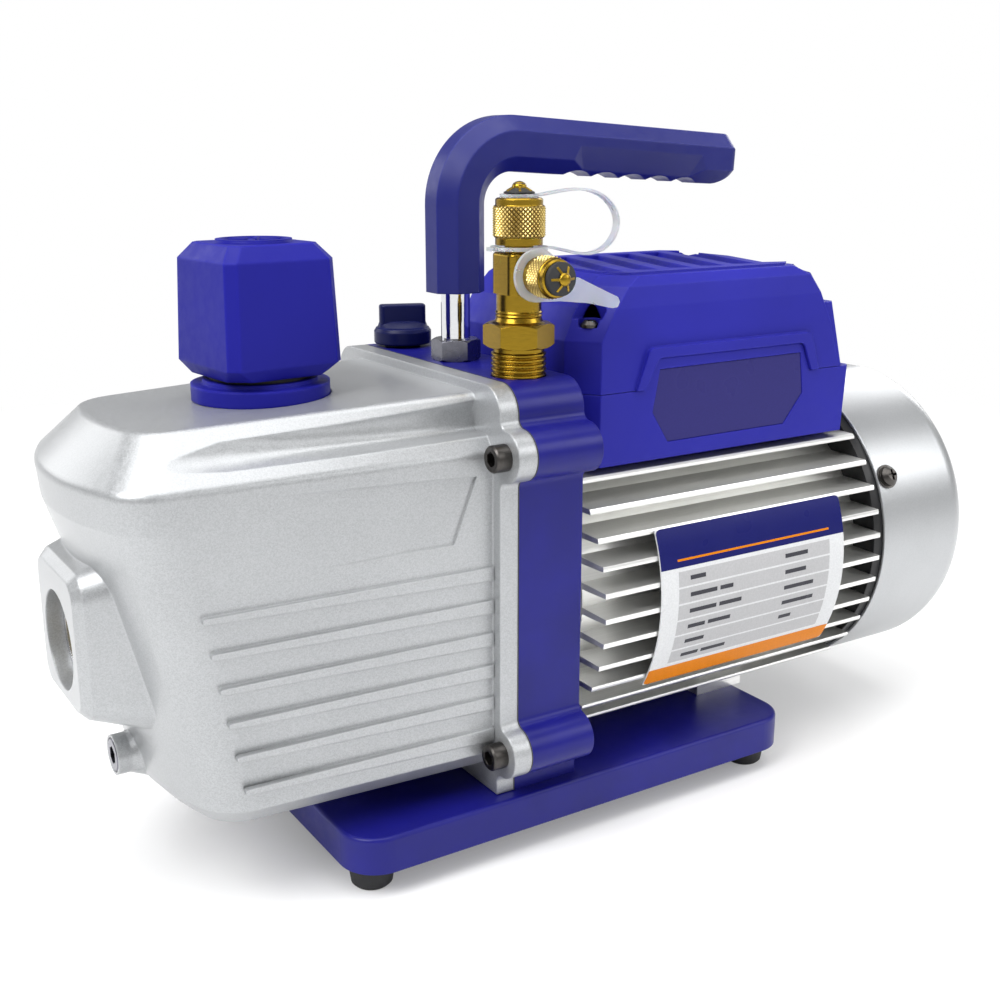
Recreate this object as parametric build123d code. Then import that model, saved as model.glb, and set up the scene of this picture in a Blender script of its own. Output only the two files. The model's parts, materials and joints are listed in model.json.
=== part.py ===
from build123d import *
import os
from math import atan2, cos, degrees, pi, radians, sin, sqrt

os.makedirs("parts", exist_ok=True)

# ---------------------------------------------------------------- driving dimensions (mm)
FRONT_X = -196.5             # sight glass face, seen from where the drawing's axes cross
BACK_X = 203.5               # fan cover face
MIDDLE_X = (FRONT_X + BACK_X) / 2
AXIS_Z = 91.5                # height of the motor and pump shaft

PLATE_BOTTOM = 10.4
PLATE_TOP = 24.7
PLATE_X0, PLATE_X1 = -116.6, 94.1
PLATE_HALF_W = 68.3
PLATE_CORNER = 15.0
PLATE_WALL = 4.5
FOOT_INSET_X, FOOT_INSET_Y = 12.5, 15.0
FOOT_R_TOP, FOOT_R_BOTTOM = 9.2, 7.8

FLANGE_BACK = -47.0
FLANGE_FRONT = -54.5
GASKET_T = 0.6
BRACKET_FRONT = FLANGE_BACK + GASKET_T
BRACKET_BACK = -18.2
BRACKET_TOP = 183.0
BRACKET_HALF_W = 64.7
BRACKET_CORNER = 11.0
FOOT_HALF_W = 62.2
EAR_R = 9.4
EAR_FILLET = 3.5
UPPER_EAR = (67.8, 158.9)
LOWER_EAR = (65.6, 43.4)
WEB_BACK = -36.0
POCKET_R = 47.0

CASE_WALL = 4.5
CASE_FLAT_REAR_Z, CASE_FLAT_FRONT_Z = 179.0, 175.4
PORT_X = -117.0              # exhaust port on top of the oil casing
PORT_SEAT_Z = 176.4

SIGHT_Z = 98.0
SIGHT_HOLE_R = 18.0
LENS_T = 5.0
DRAIN_Z = 49.7
DRAIN_FACE = -181.5

TOP_ROW_X = -34.3            # knob, handle post and intake stand in one row across the bracket
SIDE_ROW_Y = 44.5
INTAKE_X = -33.7
INTAKE_Y = -SIDE_ROW_Y

MOTOR_X0, MOTOR_X1 = -18.0, 140.0
FIN_X0 = -11.0
SHAFTS_MEET = -27.0
MOTOR_BORE_R = 50.0
MOTOR_SHELL_R = 56.0
FIN_TIP_R = 71.5
FIN_COUNT = 11
FIN_PITCH = 10.25
FIN_FIRST_Z = 38.0
FIN_TIP_T, FIN_ROOT_T = 2.0, 3.4
MOTOR_FLAT_Z = 144.4          # flat on top of the motor that carries the terminal box
SHAFT_R = 8.5

COVER_X0 = 145.6
COVER_R = 69.3
COVER_EDGE_R = 12.0
COVER_T = 1.2
SHIELD_X1 = 157.0

BOX_X0, BOX_X1 = -10.0, 133.4
BOX_HALF_W = 52.0
BOX_BOTTOM = 144.6
BOX_SEAM = 173.0
BOX_TOP = 216.6
BOX_WALL = 3.0
SEAM_GAP = 0.25
BADGE_PANEL_TOP = 185.0
LID_REAR_LOW, LID_REAR_HIGH = 131.2, 125.8
LID_LEDGE_Z = 200.8

PUMP_SHAFT_R = 8.0
BORE_R = 27.0
ROTOR_R = 22.5
RUN_GAP = 0.05
BORE_Z = AXIS_Z - (BORE_R - ROTOR_R - RUN_GAP)
STAGE_R = 42.0
LARGE_STAGE = (-90.0, BRACKET_FRONT)
MIDDLE_PLATE = (-98.0, -90.0)
SMALL_STAGE = (-126.0, -98.0)
SMALL_BORE_FRONT = -118.0
VANE_T = 3.9
VANE_IN, VANE_TIP = 7.4, 21.9
SLOT_T = 4.0

RISE = (Align.CENTER, Align.CENTER, Align.MIN)
FACE_FRONT = Rot(0, -90, 0)      # turns +Z to -X
FACE_BACK = Rot(0, 90, 0)        # turns +Z to +X
FACE_NEAR = Rot(90, 0, 0)        # turns +Z to -Y

BOLT_PLACES = [(-24.0, -42.0), (-24.0, 42.0), (-38.0, -20.0), (-38.0, 20.0), (80.0, -18.0), (80.0, 18.0)]
BOLT_R = 4.0
BASE_BOLT_L, BASE_BOLT_HEAD, BASE_BOLT_FLATS = 20.0, 5.0, 12.5

# height, half widths at the flange and at the nose, nose x and corner radius of each level of the casing
CASE_LEVELS = [(35.0, 54.0, 47.0, -166.0, 16.0), (42.5, 60.0, 53.5, -172.0, 19.0),
               (130.0, 60.0, 54.6, -190.3, 19.0), (146.0, 60.0, 54.9, -195.3, 19.0),
               (159.0, 60.0, 55.0, FRONT_X, 19.0)]
NOSE_BOW_R = 115.0
CASE_FLAT = (46.5, 36.4, -179.0, 15.0)
CASE_REAR = FLANGE_BACK - 3.0
# x, then five (half width, height) points down the shoulder trough at that x
SCOOP_STATIONS = [(-54.3, (48.0, 176.4), (45.5, 169.5), (46.3, 165.8), (51.0, 164.8), (56.3, 164.4)),
                  (-110.0, (45.4, 172.8), (45.1, 168.8), (46.8, 165.8), (50.3, 164.4), (54.3, 163.2)),
                  (-150.0, (43.3, 171.3), (44.9, 168.3), (46.9, 166.0), (49.4, 164.3), (52.4, 163.0)),
                  (-173.0, (45.2, 168.4), (46.3, 167.3), (47.4, 166.3), (48.5, 165.3), (49.6, 164.3))]
SCOOP_OUT = (18.0, 20.0)
SCOOP_WALL = 3.0
RIB_COUNT = 6
RIB_PITCH = 12.8
RIB_TOP_Z = 116.6
RIB_H_FRONT, RIB_H_REAR = 2.2, 5.4

CAP_HALF_LOW, CAP_HALF_HIGH = 22.6, 21.3
CAP_BEVEL = 3.4              # how far each upright corner of the cap is cut back
CAP_TURN = 6.0               # degrees past square at which the screwed-down cap stops
NECK_R = 20.9

KNOB_Z = BRACKET_TOP + 1.2

GRIP_W, GRIP_H, GRIP_CUT = 20.6, 21.2, 5.8
BEND_R = 23.0
POST_BOTTOM = 209.7
POST_R = 5.75
NUT_FLATS, NUT_H = 17.0, 8.4
GRIP_LEVEL = 265.8
GRIP_FALL = 3.4              # degrees the grip slopes down toward its free end
GRIP_END_X = 102.0
GRIP_END_CUT = 4.5
GRIP_TOE_R = 11.0            # round under the free end
SCALLOPS, SCALLOP_PITCH, SCALLOP_FIRST = 5, 14.0, 31.0
SCALLOP_R, SCALLOP_DEPTH = 12.5, 2.0
HOLD_X0, HOLD_X1, HOLD_DEPTH = 20.0, 99.0, 5.0

TEE_Z = 220.3
TOP_THREAD_R, SIDE_THREAD_R = 7.9, 5.5
TOP_CAP_Z = 230.5
SIDE_CAP_Y = 12.6            # from the fitting's axis to the side cap's open end
HEX_Z0, HEX_Z1 = 10.7, 19.5  # wrench hexagon, above the bracket's top

BEARING_SEAT_R = 15.5
SLOTS = 24
FAN_BLADES = 9
# radius, number of slots and slot length of each ring of the rear grille
GRILLE_RINGS = [(18.0, 8, 7.0), (30.0, 12, 8.0), (42.0, 16, 9.0), (54.0, 20, 10.0)]
COVER_SCREW_X = 151.4
COVER_SCREW_ANGLES = (26.6, 153.4, 270.0)

NAMEPLATE_X0, NAMEPLATE_X1 = 15.5, 116.0
PLATE_ANGLES = (-31.3, 23.6)      # foot and top of the nameplate, degrees above level on the near side

LID_SCREWS = [(0.0, -42.5), (0.0, 42.5), (110.0, -43.5), (110.0, 43.5)]
LID_POCKET_Z = 201.0          # floor of the pockets over the lid screws
LID_SEAT_Z = 198.0            # where those screws' heads sit, in a round hole below the floor
INLET_Y, INLET_Z = -22.0, 186.6
SWITCH_Y, SWITCH_Z = 21.0, 186.6
BADGE_POINTS = [(27.6, 180.6), (103.6, 181.0), (106.0, 163.6), (95.8, 151.2), (32.6, 151.0), (24.4, 163.8)]
LOUVRES = 6
RIM_W, RIM_OUT = 4.5, 1.2     # raised rim of the lid round the badge panel
PANEL_POINTS = [(13.0, -33.0), (20.0, -41.5), (102.0, -41.5), (108.0, -36.0), (108.0, 36.0), (102.0, 41.5),
                (20.0, 41.5), (13.0, 33.0)]
ROCKER_R = 9.0
ROCKER_TILT = 9.0


# ---------------------------------------------------------------- small helpers
def save(name, *shapes):
    """Write one node, of one solid or several, with the pump's middle moved onto the origin."""
    solids = [Pos(-MIDDLE_X, 0, 0) * solid for shape in shapes for solid in shape.solids()]
    export_step(solids[0] if len(solids) == 1 else Compound(children=solids), f"parts/{name}.step")


def block(x0, x1, y0, y1, z0, z1):
    """A plain block between two corners."""
    centre = Pos((x0 + x1) / 2, (y0 + y1) / 2, (z0 + z1) / 2)
    return centre * Box(x1 - x0, y1 - y0, z1 - z0)


def rod_x(radius, x0, x1, y=0.0, z=AXIS_Z):
    """A cylinder that runs along X."""
    return Pos(x0, y, z) * Rot(0, 90, 0) * Cylinder(radius, x1 - x0, align=RISE)


def rod_y(radius, y0, y1, x, z):
    """A cylinder that runs along Y."""
    return Pos(x, y0, z) * Rot(-90, 0, 0) * Cylinder(radius, y1 - y0, align=RISE)


def rod_z(radius, z0, z1, x, y):
    """A cylinder that stands along Z."""
    return Pos(x, y, z0) * Cylinder(radius, z1 - z0, align=RISE)


def ring_x(outer, inner, x0, x1, y=0.0, z=AXIS_Z):
    """A plain ring about the X direction."""
    return rod_x(outer, x0, x1, y, z) - rod_x(inner, x0 - 1, x1 + 1, y, z)


def turned(points):
    """A solid of revolution about Z, from its (radius, height) outline."""
    return revolve(Plane.XZ * make_face(Polyline(*points, close=True)), Axis.Z)


def ridged(outer, root, z0, z1, pitch):
    """(radius, height) points of a ring-ridged thread, from the bottom up."""
    count = int((z1 - z0) / pitch)
    points = []
    for i in range(count):
        low = z0 + i * pitch
        points += [(root, low), (outer, low + 0.3 * pitch)]
        points += [(outer, low + 0.6 * pitch), (root, low + 0.9 * pitch)]
    return points + [(root, z1)]


def hex_prism(across_flats, z0, z1, turn=0.0, chamfer=0.0):
    """A nut-like hexagon about Z, its corners cut back by a cone at both ends."""
    corner_r = across_flats / sqrt(3)
    body = Pos(0, 0, z0) * extrude(Rot(0, 0, turn) * RegularPolygon(corner_r, 6), z1 - z0)
    if chamfer:
        flat_r = across_flats / 2
        rise = chamfer * 0.6
        cone = [(0, z0), (flat_r, z0), (corner_r + 0.5, z0 + rise + 0.3)]
        cone += [(corner_r + 0.5, z1 - rise - 0.3), (flat_r, z1), (0, z1)]
        body = body & turned(cone)
    return body


def cap_screw(head_r, head_h, shank_r, length, socket_r):
    """A socket head screw standing on z = 0, head up and shank down."""
    head = Cylinder(head_r, head_h, align=RISE)
    head = chamfer(head.edges().group_by(Axis.Z)[-1], 0.6)
    socket = Pos(0, 0, head_h * 0.45) * extrude(RegularPolygon(socket_r, 6), head_h)
    shank = Pos(0, 0, -length) * Cylinder(shank_r, length, align=RISE)
    return head + shank - socket


def pan_screw(head_r, head_h, shank_r, length):
    """A cross-slot pan head screw standing on z = 0, head up and shank down."""
    dome = turned([(0, 0), (head_r, 0), (head_r, head_h * 0.45), (head_r * 0.6, head_h), (0, head_h)])
    cross = Pos(0, 0, head_h) * Box(head_r * 1.1, head_r * 0.25, head_h * 0.9)
    cross += Pos(0, 0, head_h) * Box(head_r * 0.25, head_r * 1.1, head_h * 0.9)
    shank = Pos(0, 0, -length) * Cylinder(shank_r, length, align=RISE)
    return dome + shank - cross


# ---------------------------------------------------------------- base plate and feet
def plate_outline(inset):
    """The plate's rounded plan, drawn in by an inset."""
    length = PLATE_X1 - PLATE_X0 - 2 * inset
    width = 2 * (PLATE_HALF_W - inset)
    return Pos((PLATE_X0 + PLATE_X1) / 2, 0) * RectangleRounded(length, width, PLATE_CORNER - inset)


def foot_places():
    """Centres of the four rubber feet."""
    xs = (PLATE_X0 + FOOT_INSET_X, PLATE_X1 - FOOT_INSET_X)
    ys = (-PLATE_HALF_W + FOOT_INSET_Y, PLATE_HALF_W - FOOT_INSET_Y)
    return [(x, y) for x in xs for y in ys]


def make_base_plate():
    plate = Pos(0, 0, PLATE_BOTTOM) * extrude(plate_outline(0), PLATE_TOP - PLATE_BOTTOM)
    plate = fillet(plate.edges().group_by(Axis.Z)[-1], 1.6)
    hollow = Pos(0, 0, PLATE_BOTTOM - 1) * extrude(plate_outline(PLATE_WALL), PLATE_TOP - PLATE_BOTTOM - 4)
    for x, y in foot_places():
        hollow -= rod_z(11.0, PLATE_BOTTOM - 2, PLATE_TOP, x, y)
    for x, y in BOLT_PLACES:
        hollow -= rod_z(9.0, PLATE_BOTTOM + 6, PLATE_TOP, x, y)
    for y in (-31.0, 31.0):
        hollow -= block(PLATE_X0, PLATE_X1, y - 1.5, y + 1.5, PLATE_BOTTOM + 2, PLATE_TOP)
    for x in (-70.0, 30.0):
        hollow -= block(x - 1.5, x + 1.5, -PLATE_HALF_W, PLATE_HALF_W, PLATE_BOTTOM + 2, PLATE_TOP)
    plate -= hollow
    for x, y in foot_places():
        plate -= rod_z(3.2, PLATE_BOTTOM - 1, PLATE_BOTTOM + 9, x, y)
    for x, y in BOLT_PLACES:
        plate -= rod_z(BOLT_R + 0.3, PLATE_BOTTOM, PLATE_TOP + 1, x, y)
    save("base_plate", plate)


def make_rubber_feet():
    outline = [(0, 0), (FOOT_R_BOTTOM - 1, 0), (FOOT_R_BOTTOM, 1.0), (FOOT_R_TOP, PLATE_BOTTOM)]
    outline += [(3.1, PLATE_BOTTOM), (3.1, PLATE_BOTTOM + 8), (0, PLATE_BOTTOM + 8)]
    foot = turned(outline)
    save("rubber_feet", *[Pos(x, y, 0) * foot for x, y in foot_places()])


def make_base_bolts():
    head_z = PLATE_BOTTOM + 6
    shank = Pos(0, 0, -BASE_BOLT_L) * Cylinder(BOLT_R, BASE_BOLT_L, align=RISE)
    bolt = Rot(180, 0, 0) * (hex_prism(BASE_BOLT_FLATS, 0, BASE_BOLT_HEAD, 0, 1.0) + shank)
    save("base_bolts", *[Pos(x, y, head_z) * bolt for x, y in BOLT_PLACES])


# ---------------------------------------------------------------- pump bracket
def ears():
    """Both screw ear centres on both sides."""
    return [(side * y, z) for y, z in (UPPER_EAR, LOWER_EAR) for side in (-1, 1)]


def arc_about(centre, radius, start, end):
    """An arc about a centre, from one angle to another."""
    angles = (radians(start), radians((start + end) / 2), radians(end))
    return ThreePointArc(*[(centre[0] + radius * cos(a), centre[1] + radius * sin(a)) for a in angles])


def ear_edges(centre, wall_above, wall_below):
    """The right hand ear as three arcs, from the wall above it round to the wall below it."""
    reach = EAR_R + EAR_FILLET
    side_above = wall_above + EAR_FILLET - centre[0]
    side_below = wall_below + EAR_FILLET - centre[0]
    rise = sqrt(reach**2 - side_above**2)
    drop = sqrt(reach**2 - side_below**2)
    above = (centre[0] + side_above, centre[1] + rise)
    below = (centre[0] + side_below, centre[1] - drop)
    a = degrees(atan2(rise, side_above))
    b = degrees(atan2(-drop, side_below))
    upper = arc_about(above, EAR_FILLET, 180, 180 + a)
    lower = arc_about(below, EAR_FILLET, 180 + b, 180)
    return [upper, arc_about(centre, EAR_R, a, b), lower]


def lobed_outline(bottom):
    """The bracket's outline seen along X: rounded top, an ear at each corner."""
    crown = BRACKET_HALF_W - BRACKET_CORNER
    upper = ear_edges(UPPER_EAR, BRACKET_HALF_W, BRACKET_HALF_W)
    lower = ear_edges(LOWER_EAR, BRACKET_HALF_W, FOOT_HALF_W)
    corner = arc_about((crown, BRACKET_TOP - BRACKET_CORNER), BRACKET_CORNER, 90, 0)
    half = [Line((0, BRACKET_TOP), corner @ 0), corner, Line(corner @ 1, upper[0] @ 0)]
    half += upper + [Line(upper[2] @ 1, lower[0] @ 0)] + lower
    half += [Line(lower[2] @ 1, (FOOT_HALF_W, bottom)), Line((FOOT_HALF_W, bottom), (0, bottom))]
    half += [Line((0, bottom), (0, BRACKET_TOP))]
    half_face = make_face([edge for part in half for edge in part.edges()])
    return Plane.YZ * (half_face + mirror(half_face, Plane.YZ))


def make_pump_bracket():
    depth = BRACKET_BACK - BRACKET_FRONT
    body = Pos(BRACKET_FRONT, 0, 0) * extrude(lobed_outline(PLATE_TOP), depth)
    body -= rod_x(POCKET_R, WEB_BACK, BRACKET_BACK + 1)
    body -= rod_x(13.0, BRACKET_FRONT - 1, WEB_BACK + 1)
    half, rise = 30.0, 2.2
    body -= block(BRACKET_FRONT - 1, -22.0, -half, half, PLATE_TOP - 1, PLATE_TOP + rise)
    for y, z in ears():
        body -= rod_x(3.3, BRACKET_FRONT - 1, BRACKET_FRONT + 14, y, z)
    for x, y in BOLT_PLACES[:4]:
        body -= rod_z(BOLT_R + 0.02, PLATE_TOP - 1, PLATE_BOTTOM + 27, x, y)
    for y, z in pump_bolt_places():
        body -= rod_x(3.0, BRACKET_FRONT - 1, BRACKET_FRONT + 9, y, z)
    body -= rod_z(6.05, BRACKET_TOP - 16, BRACKET_TOP + 1, TOP_ROW_X, 0)
    body -= rod_z(10.25, BRACKET_TOP - 14, BRACKET_TOP + 1, INTAKE_X, INTAKE_Y)
    body -= rod_z(6.0, BRACKET_TOP - 34, BRACKET_TOP, INTAKE_X, INTAKE_Y)
    body -= rod_z(4.6, BRACKET_TOP - 20, BRACKET_TOP + 1, TOP_ROW_X, SIDE_ROW_Y)
    save("pump_bracket", body)


# ---------------------------------------------------------------- oil casing
def case_section(plane, rear_x, rear_half, front_half, nose_x, nose_r, corner_r):
    """One level of the casing's plan: straight drafted sides and a bowed, round-cornered nose."""
    bow = nose_r - sqrt(nose_r**2 - front_half**2)
    corner_x = nose_x + bow
    near_side = [(rear_x, -rear_half), (corner_x, -front_half)]
    outline = Polyline((corner_x, front_half), (rear_x, rear_half), *near_side)
    nose = ThreePointArc((corner_x, -front_half), (nose_x, 0), (corner_x, front_half))
    face = make_face(outline.edges() + nose.edges())
    corners = [v for v in face.vertices() if v.X < corner_x + 1]
    return plane * fillet(corners, corner_r)


def level(z):
    return Plane(origin=(0, 0, z))


def case_body(skin):
    """The casing's solid form, drawn in by a skin thickness; zero gives the outside."""
    rear = CASE_REAR if skin == 0 else FLANGE_BACK + 2
    sections = []
    for i, (z, rear_half, front_half, nose_x, corner_r) in enumerate(CASE_LEVELS):
        rise = skin * (1.0, 0.6, 0.0, 0.0, -0.5)[i]
        halves = (rear_half - skin, front_half - skin)
        sections.append(case_section(level(z + rise), rear, *halves, nose_x + skin, NOSE_BOW_R, corner_r))
    fall = (CASE_FLAT_REAR_Z - CASE_FLAT_FRONT_Z) / 112.0
    flat = Plane(origin=(FLANGE_FRONT, 0, CASE_FLAT_REAR_Z - skin), x_dir=(1, 0, fall), z_dir=(-fall, 0, 1))
    rear_half, front_half, nose_x, corner_r = CASE_FLAT
    halves = (rear_half - skin * 0.8, front_half - skin * 0.8)
    nose_x += skin * 0.8 - FLANGE_FRONT
    sections.append(case_section(flat, rear - FLANGE_FRONT, *halves, nose_x, NOSE_BOW_R, corner_r))
    body = loft(sections[:2], ruled=True)
    for lower, upper in zip(sections[1:], sections[2:]):
        body += loft([lower, upper], ruled=True)
    return body


def rounded_case():
    """The casing's outside with its shoulder, roof and belly edges eased."""
    body = case_body(0)
    for low, high, radius in ((158.0, 160.0, 4.0), (174.0, 181.0, 3.5), (34.5, 35.5, 4.0)):
        ring = [e for e in body.edges() if low < e.bounding_box().min.Z and e.bounding_box().max.Z < high]
        ring = [e for e in ring if e.bounding_box().min.X < CASE_REAR - 1]
        body = fillet(ring, radius)
    return body


def side_scoop(side):
    """The long trough along each shoulder of the casing, deep at the flange and running out forward."""
    sections = []
    for x, *points in SCOOP_STATIONS:
        curve = [(side * y, z) for y, z in points]
        far = [(side * (y + SCOOP_OUT[0]), z + SCOOP_OUT[1]) for y, z in (points[0], points[-1])]
        edges = Spline(*curve).edges() + Polyline(curve[-1], far[1], far[0], curve[0]).edges()
        sections.append(Plane(origin=(x, 0, 0), x_dir=(0, 1, 0), z_dir=(1, 0, 0)) * make_face(edges))
    return loft(sections, ruled=True)


def wall_y(x):
    """Half width of the casing's side wall at x, where it is widest."""
    return 60.0 - (FLANGE_BACK - 3 - x) * 5.0 / 139.0


def wall_plane(x_left, x_right, sink_left, sink_right, side):
    """A plane that leans with the side wall, sunk into it by different amounts at its two ends."""
    y_left = side * (wall_y(x_left) - sink_left)
    y_right = side * (wall_y(x_right) - sink_right)
    run = Vector(x_right - x_left, y_right - y_left, 0).normalized()
    return Plane(origin=(x_left, y_left, 0), x_dir=run, z_dir=run.cross(Vector(0, 0, 1)))


def side_panel(side):
    """The shallow name panel, sunk at the flange end and running out to nothing toward the nose."""
    plane = wall_plane(-162.0, -61.5, 0.0, 1.2, side)
    outline = make_face(Polyline((0, 155.0), (101.0, 151.2), (91.5, 127.2), (4.0, 126.2), close=True))
    outward = 6.0 if side < 0 else -6.0
    return extrude(plane * outline, outward)


def side_ribs(side):
    """Six tapered cooling ribs that stand a little off each side wall."""
    ribs = []
    for i in range(RIB_COUNT):
        left = -163.5 + 2.2 * i
        length = FLANGE_FRONT - 0.2 - left
        top_z = RIB_TOP_Z - RIB_PITCH * i
        plane = wall_plane(left, FLANGE_FRONT, 1.5, 1.5, side)
        corners = [(0, top_z), (length, top_z), (length, top_z - RIB_H_REAR), (0, top_z - RIB_H_FRONT)]
        outline = make_face(Polyline(*corners, close=True))
        outline = fillet([v for v in outline.vertices() if v.X < 1], 0.9)
        outward = 2.5 if side < 0 else -2.5
        ribs.append(extrude(plane * outline, outward))
    return ribs


def make_oil_casing():
    body = rounded_case()
    for side in (-1, 1):
        body -= side_scoop(side)
        body -= side_panel(side)
        for rib in side_ribs(side):
            body += rib
    flange = Pos(FLANGE_FRONT, 0, 0) * extrude(lobed_outline(PLATE_TOP + 0.4), FLANGE_BACK - FLANGE_FRONT)
    body += flange
    face = Plane(origin=(FRONT_X, 0, SIGHT_Z + 2.5), x_dir=(0, 1, 0), z_dir=(1, 0, 0))
    rim = face * RectangleRounded(46.0, 47.0, 7.0)
    collar = face.offset(3.0) * RectangleRounded(52.0, 53.0, 9.0)
    root = face.offset(24.0) * RectangleRounded(68.0, 68.0, 14.0)
    body += loft([rim, collar], ruled=True) + loft([collar, root], ruled=True)
    body += rod_x(7.5, DRAIN_FACE, -160.0, 0, DRAIN_Z)
    cone = FACE_BACK * turned([(0, 0), (7.5, 0), (13.0, 12.0), (0, 12.0)])
    body += Pos(DRAIN_FACE + 5.0, 0, DRAIN_Z) * cone
    hollow = case_body(CASE_WALL)
    guard = rod_x(27.0, -190.0, -166.0, 0, SIGHT_Z) + rod_x(12.0, -182.0, -164.0, 0, DRAIN_Z)
    for side in (-1, 1):
        guard += Pos(0, side * -SCOOP_WALL, -SCOOP_WALL) * side_scoop(side)
    body -= hollow - guard
    body -= rod_x(SIGHT_HOLE_R, FRONT_X - 1, -183.0, 0, SIGHT_Z)
    body -= rod_x(14.0, -184.0, -160.0, 0, SIGHT_Z)
    body -= rod_x(6.6, DRAIN_FACE - 1, DRAIN_FACE + 4.0, 0, DRAIN_Z)
    body -= rod_x(5.15, DRAIN_FACE, -160.0, 0, DRAIN_Z)
    body -= rod_z(25.6, PORT_SEAT_Z, PORT_SEAT_Z + 10, PORT_X, 0)
    body -= rod_z(17.0, 160.0, PORT_SEAT_Z + 1, PORT_X, 0)
    for y, z in ears():
        body -= rod_x(3.3, FLANGE_FRONT - 1, FLANGE_BACK + 1, y, z)
        body -= rod_x(5.6, FLANGE_FRONT - 12, FLANGE_FRONT, y, z)
    save("oil_casing", body)


def make_casing_gasket():
    sheet = Pos(FLANGE_BACK, 0, 0) * extrude(lobed_outline(PLATE_TOP + 0.4), GASKET_T)
    sheet -= block(FLANGE_BACK - 1, BRACKET_FRONT + 1, -54.5, 54.5, 41.0, 172.0)
    for y, z in ears():
        sheet -= rod_x(3.5, FLANGE_BACK - 1, BRACKET_FRONT + 1, y, z)
    save("casing_gasket", sheet)


def make_casing_screws():
    screw = FACE_FRONT * cap_screw(5.0, 6.0, 3.0, 19.0, 2.9)
    save("casing_screws", *[Pos(FLANGE_FRONT, y, z) * screw for y, z in ears()])


def make_sight_glass():
    glass = rod_x(SIGHT_HOLE_R - 0.1, -188.6, -188.6 + LENS_T, 0, SIGHT_Z)
    save("sight_glass", glass)
    clip = ring_x(SIGHT_HOLE_R - 0.05, 15.2, -190.4, -188.8, 0, SIGHT_Z)
    save("sight_glass_ring", clip)


def make_drain_plug():
    thread = turned([(0, 0)] + ridged(5.0, 4.5, 0, 9.0, 1.25) + [(0, 9.0)])
    head = turned([(0, 9.0), (4.9, 9.0), (4.9, 10.4), (6.3, 10.4), (6.3, 12.6), (5.7, 13.2), (0, 13.2)])
    socket = Pos(0, 0, 8.5) * extrude(RegularPolygon(3.5, 6), 6)
    plug = FACE_FRONT * (thread + head - socket)
    save("drain_plug", Pos(DRAIN_FACE + 13.0, 0, DRAIN_Z) * plug)
    seal = ring_x(6.2, 5.05, DRAIN_FACE + 2.7, DRAIN_FACE + 3.9, 0, DRAIN_Z)
    save("drain_plug_seal", seal)


# ---------------------------------------------------------------- exhaust port and cap
def make_exhaust_port():
    outline = [(14.0, -9.0), (16.9, -9.0), (16.9, 0), (25.1, 0), (25.1, 5.9), (NECK_R, 5.9), (NECK_R, 7.5)]
    outline += ridged(17.0, 16.2, 7.5, 25.5, 3.0) + [(14.0, 25.5)]
    save("exhaust_port", Pos(PORT_X, 0, PORT_SEAT_Z) * turned(outline))
    mesh = rod_z(13.8, PORT_SEAT_Z - 1, PORT_SEAT_Z + 20, PORT_X, 0)
    save("exhaust_filter", mesh)


def square_level(z, half, bevel):
    """A level square about the port with its corners cut off."""
    corners = chamfer(Rectangle(2 * half, 2 * half).vertices(), bevel)
    return Plane(origin=(PORT_X, 0, z)) * Rot(0, 0, CAP_TURN) * corners


def make_exhaust_cap():
    base_z, low_z, high_z, top_z = 185.6, 190.0, 226.5, 232.0
    low, high = square_level(low_z, CAP_HALF_LOW, CAP_BEVEL), square_level(high_z, CAP_HALF_HIGH, CAP_BEVEL)
    skirt = loft([square_level(base_z, 20.4, 7.0), low], ruled=True)
    wall = loft([low, high], ruled=True)
    crown = loft([high, square_level(top_z, 17.0, 3.2)], ruled=True)
    disc = rod_z(13.5, top_z, top_z + 1.2, PORT_X, 0) - rod_z(11.5, top_z + 0.3, top_z + 2, PORT_X, 0)
    cap = skirt + wall + crown + disc
    for i in range(6):
        cap += Pos(PORT_X, 0, top_z + 0.6) * Rot(0, 0, 60 * i) * Pos(6.5, 0, 0) * Box(7.0, 1.6, 1.2)
    cap -= rod_z(17.4, base_z - 1, 212.0, PORT_X, 0)
    cap -= rod_z(18.6, base_z - 1, base_z + 0.5, PORT_X, 0)
    save("exhaust_cap", cap)
    seal_z = PORT_SEAT_Z + 7.55
    seal = rod_z(18.4, seal_z, seal_z + 1.8, PORT_X, 0) - rod_z(17.35, seal_z - 1, seal_z + 3, PORT_X, 0)
    save("exhaust_cap_seal", seal)


# ---------------------------------------------------------------- gas ballast knob
def make_gas_ballast_knob():
    thread = turned([(0, -15.0)] + ridged(4.4, 3.9, -15.0, -6.0, 1.25) + [(3.9, 0), (0, 0)])
    disc = turned([(0, 0), (11.6, 0), (12.1, 0.6), (12.1, 5.2), (11.2, 6.6), (0, 6.6)])
    flare = loft([level(6.5) * Ellipse(10.8, 7.5), level(9.0) * Ellipse(9.9, 3.8)], ruled=True)
    grip = Pos(0, 0, 8.0) * extrude(RectangleRounded(19.6, 6.4, 2.4), 8.2)
    grip = fillet(grip.edges().group_by(Axis.Z)[-1], 0.9)
    bar = flare + grip
    knob = thread + disc + Rot(0, 0, -20) * bar
    save("gas_ballast_knob", Pos(TOP_ROW_X, SIDE_ROW_Y, KNOB_Z) * knob)
    seal = rod_z(7.4, BRACKET_TOP + 0.05, KNOB_Z - 0.05, TOP_ROW_X, SIDE_ROW_Y)
    seal -= rod_z(4.75, BRACKET_TOP - 1, KNOB_Z + 1, TOP_ROW_X, SIDE_ROW_Y)
    save("gas_ballast_seal", seal)


# ---------------------------------------------------------------- carrying handle
def octagon():
    """The grip's section: a block with its four long edges cut away."""
    a, b, c = GRIP_H / 2, GRIP_W / 2, GRIP_CUT
    points = [(a - c, -b), (a, -b + c), (a, b - c), (a - c, b)]
    points += [(-x, -y) for x, y in points]
    return make_face(Polyline(*points, close=True))


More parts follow.
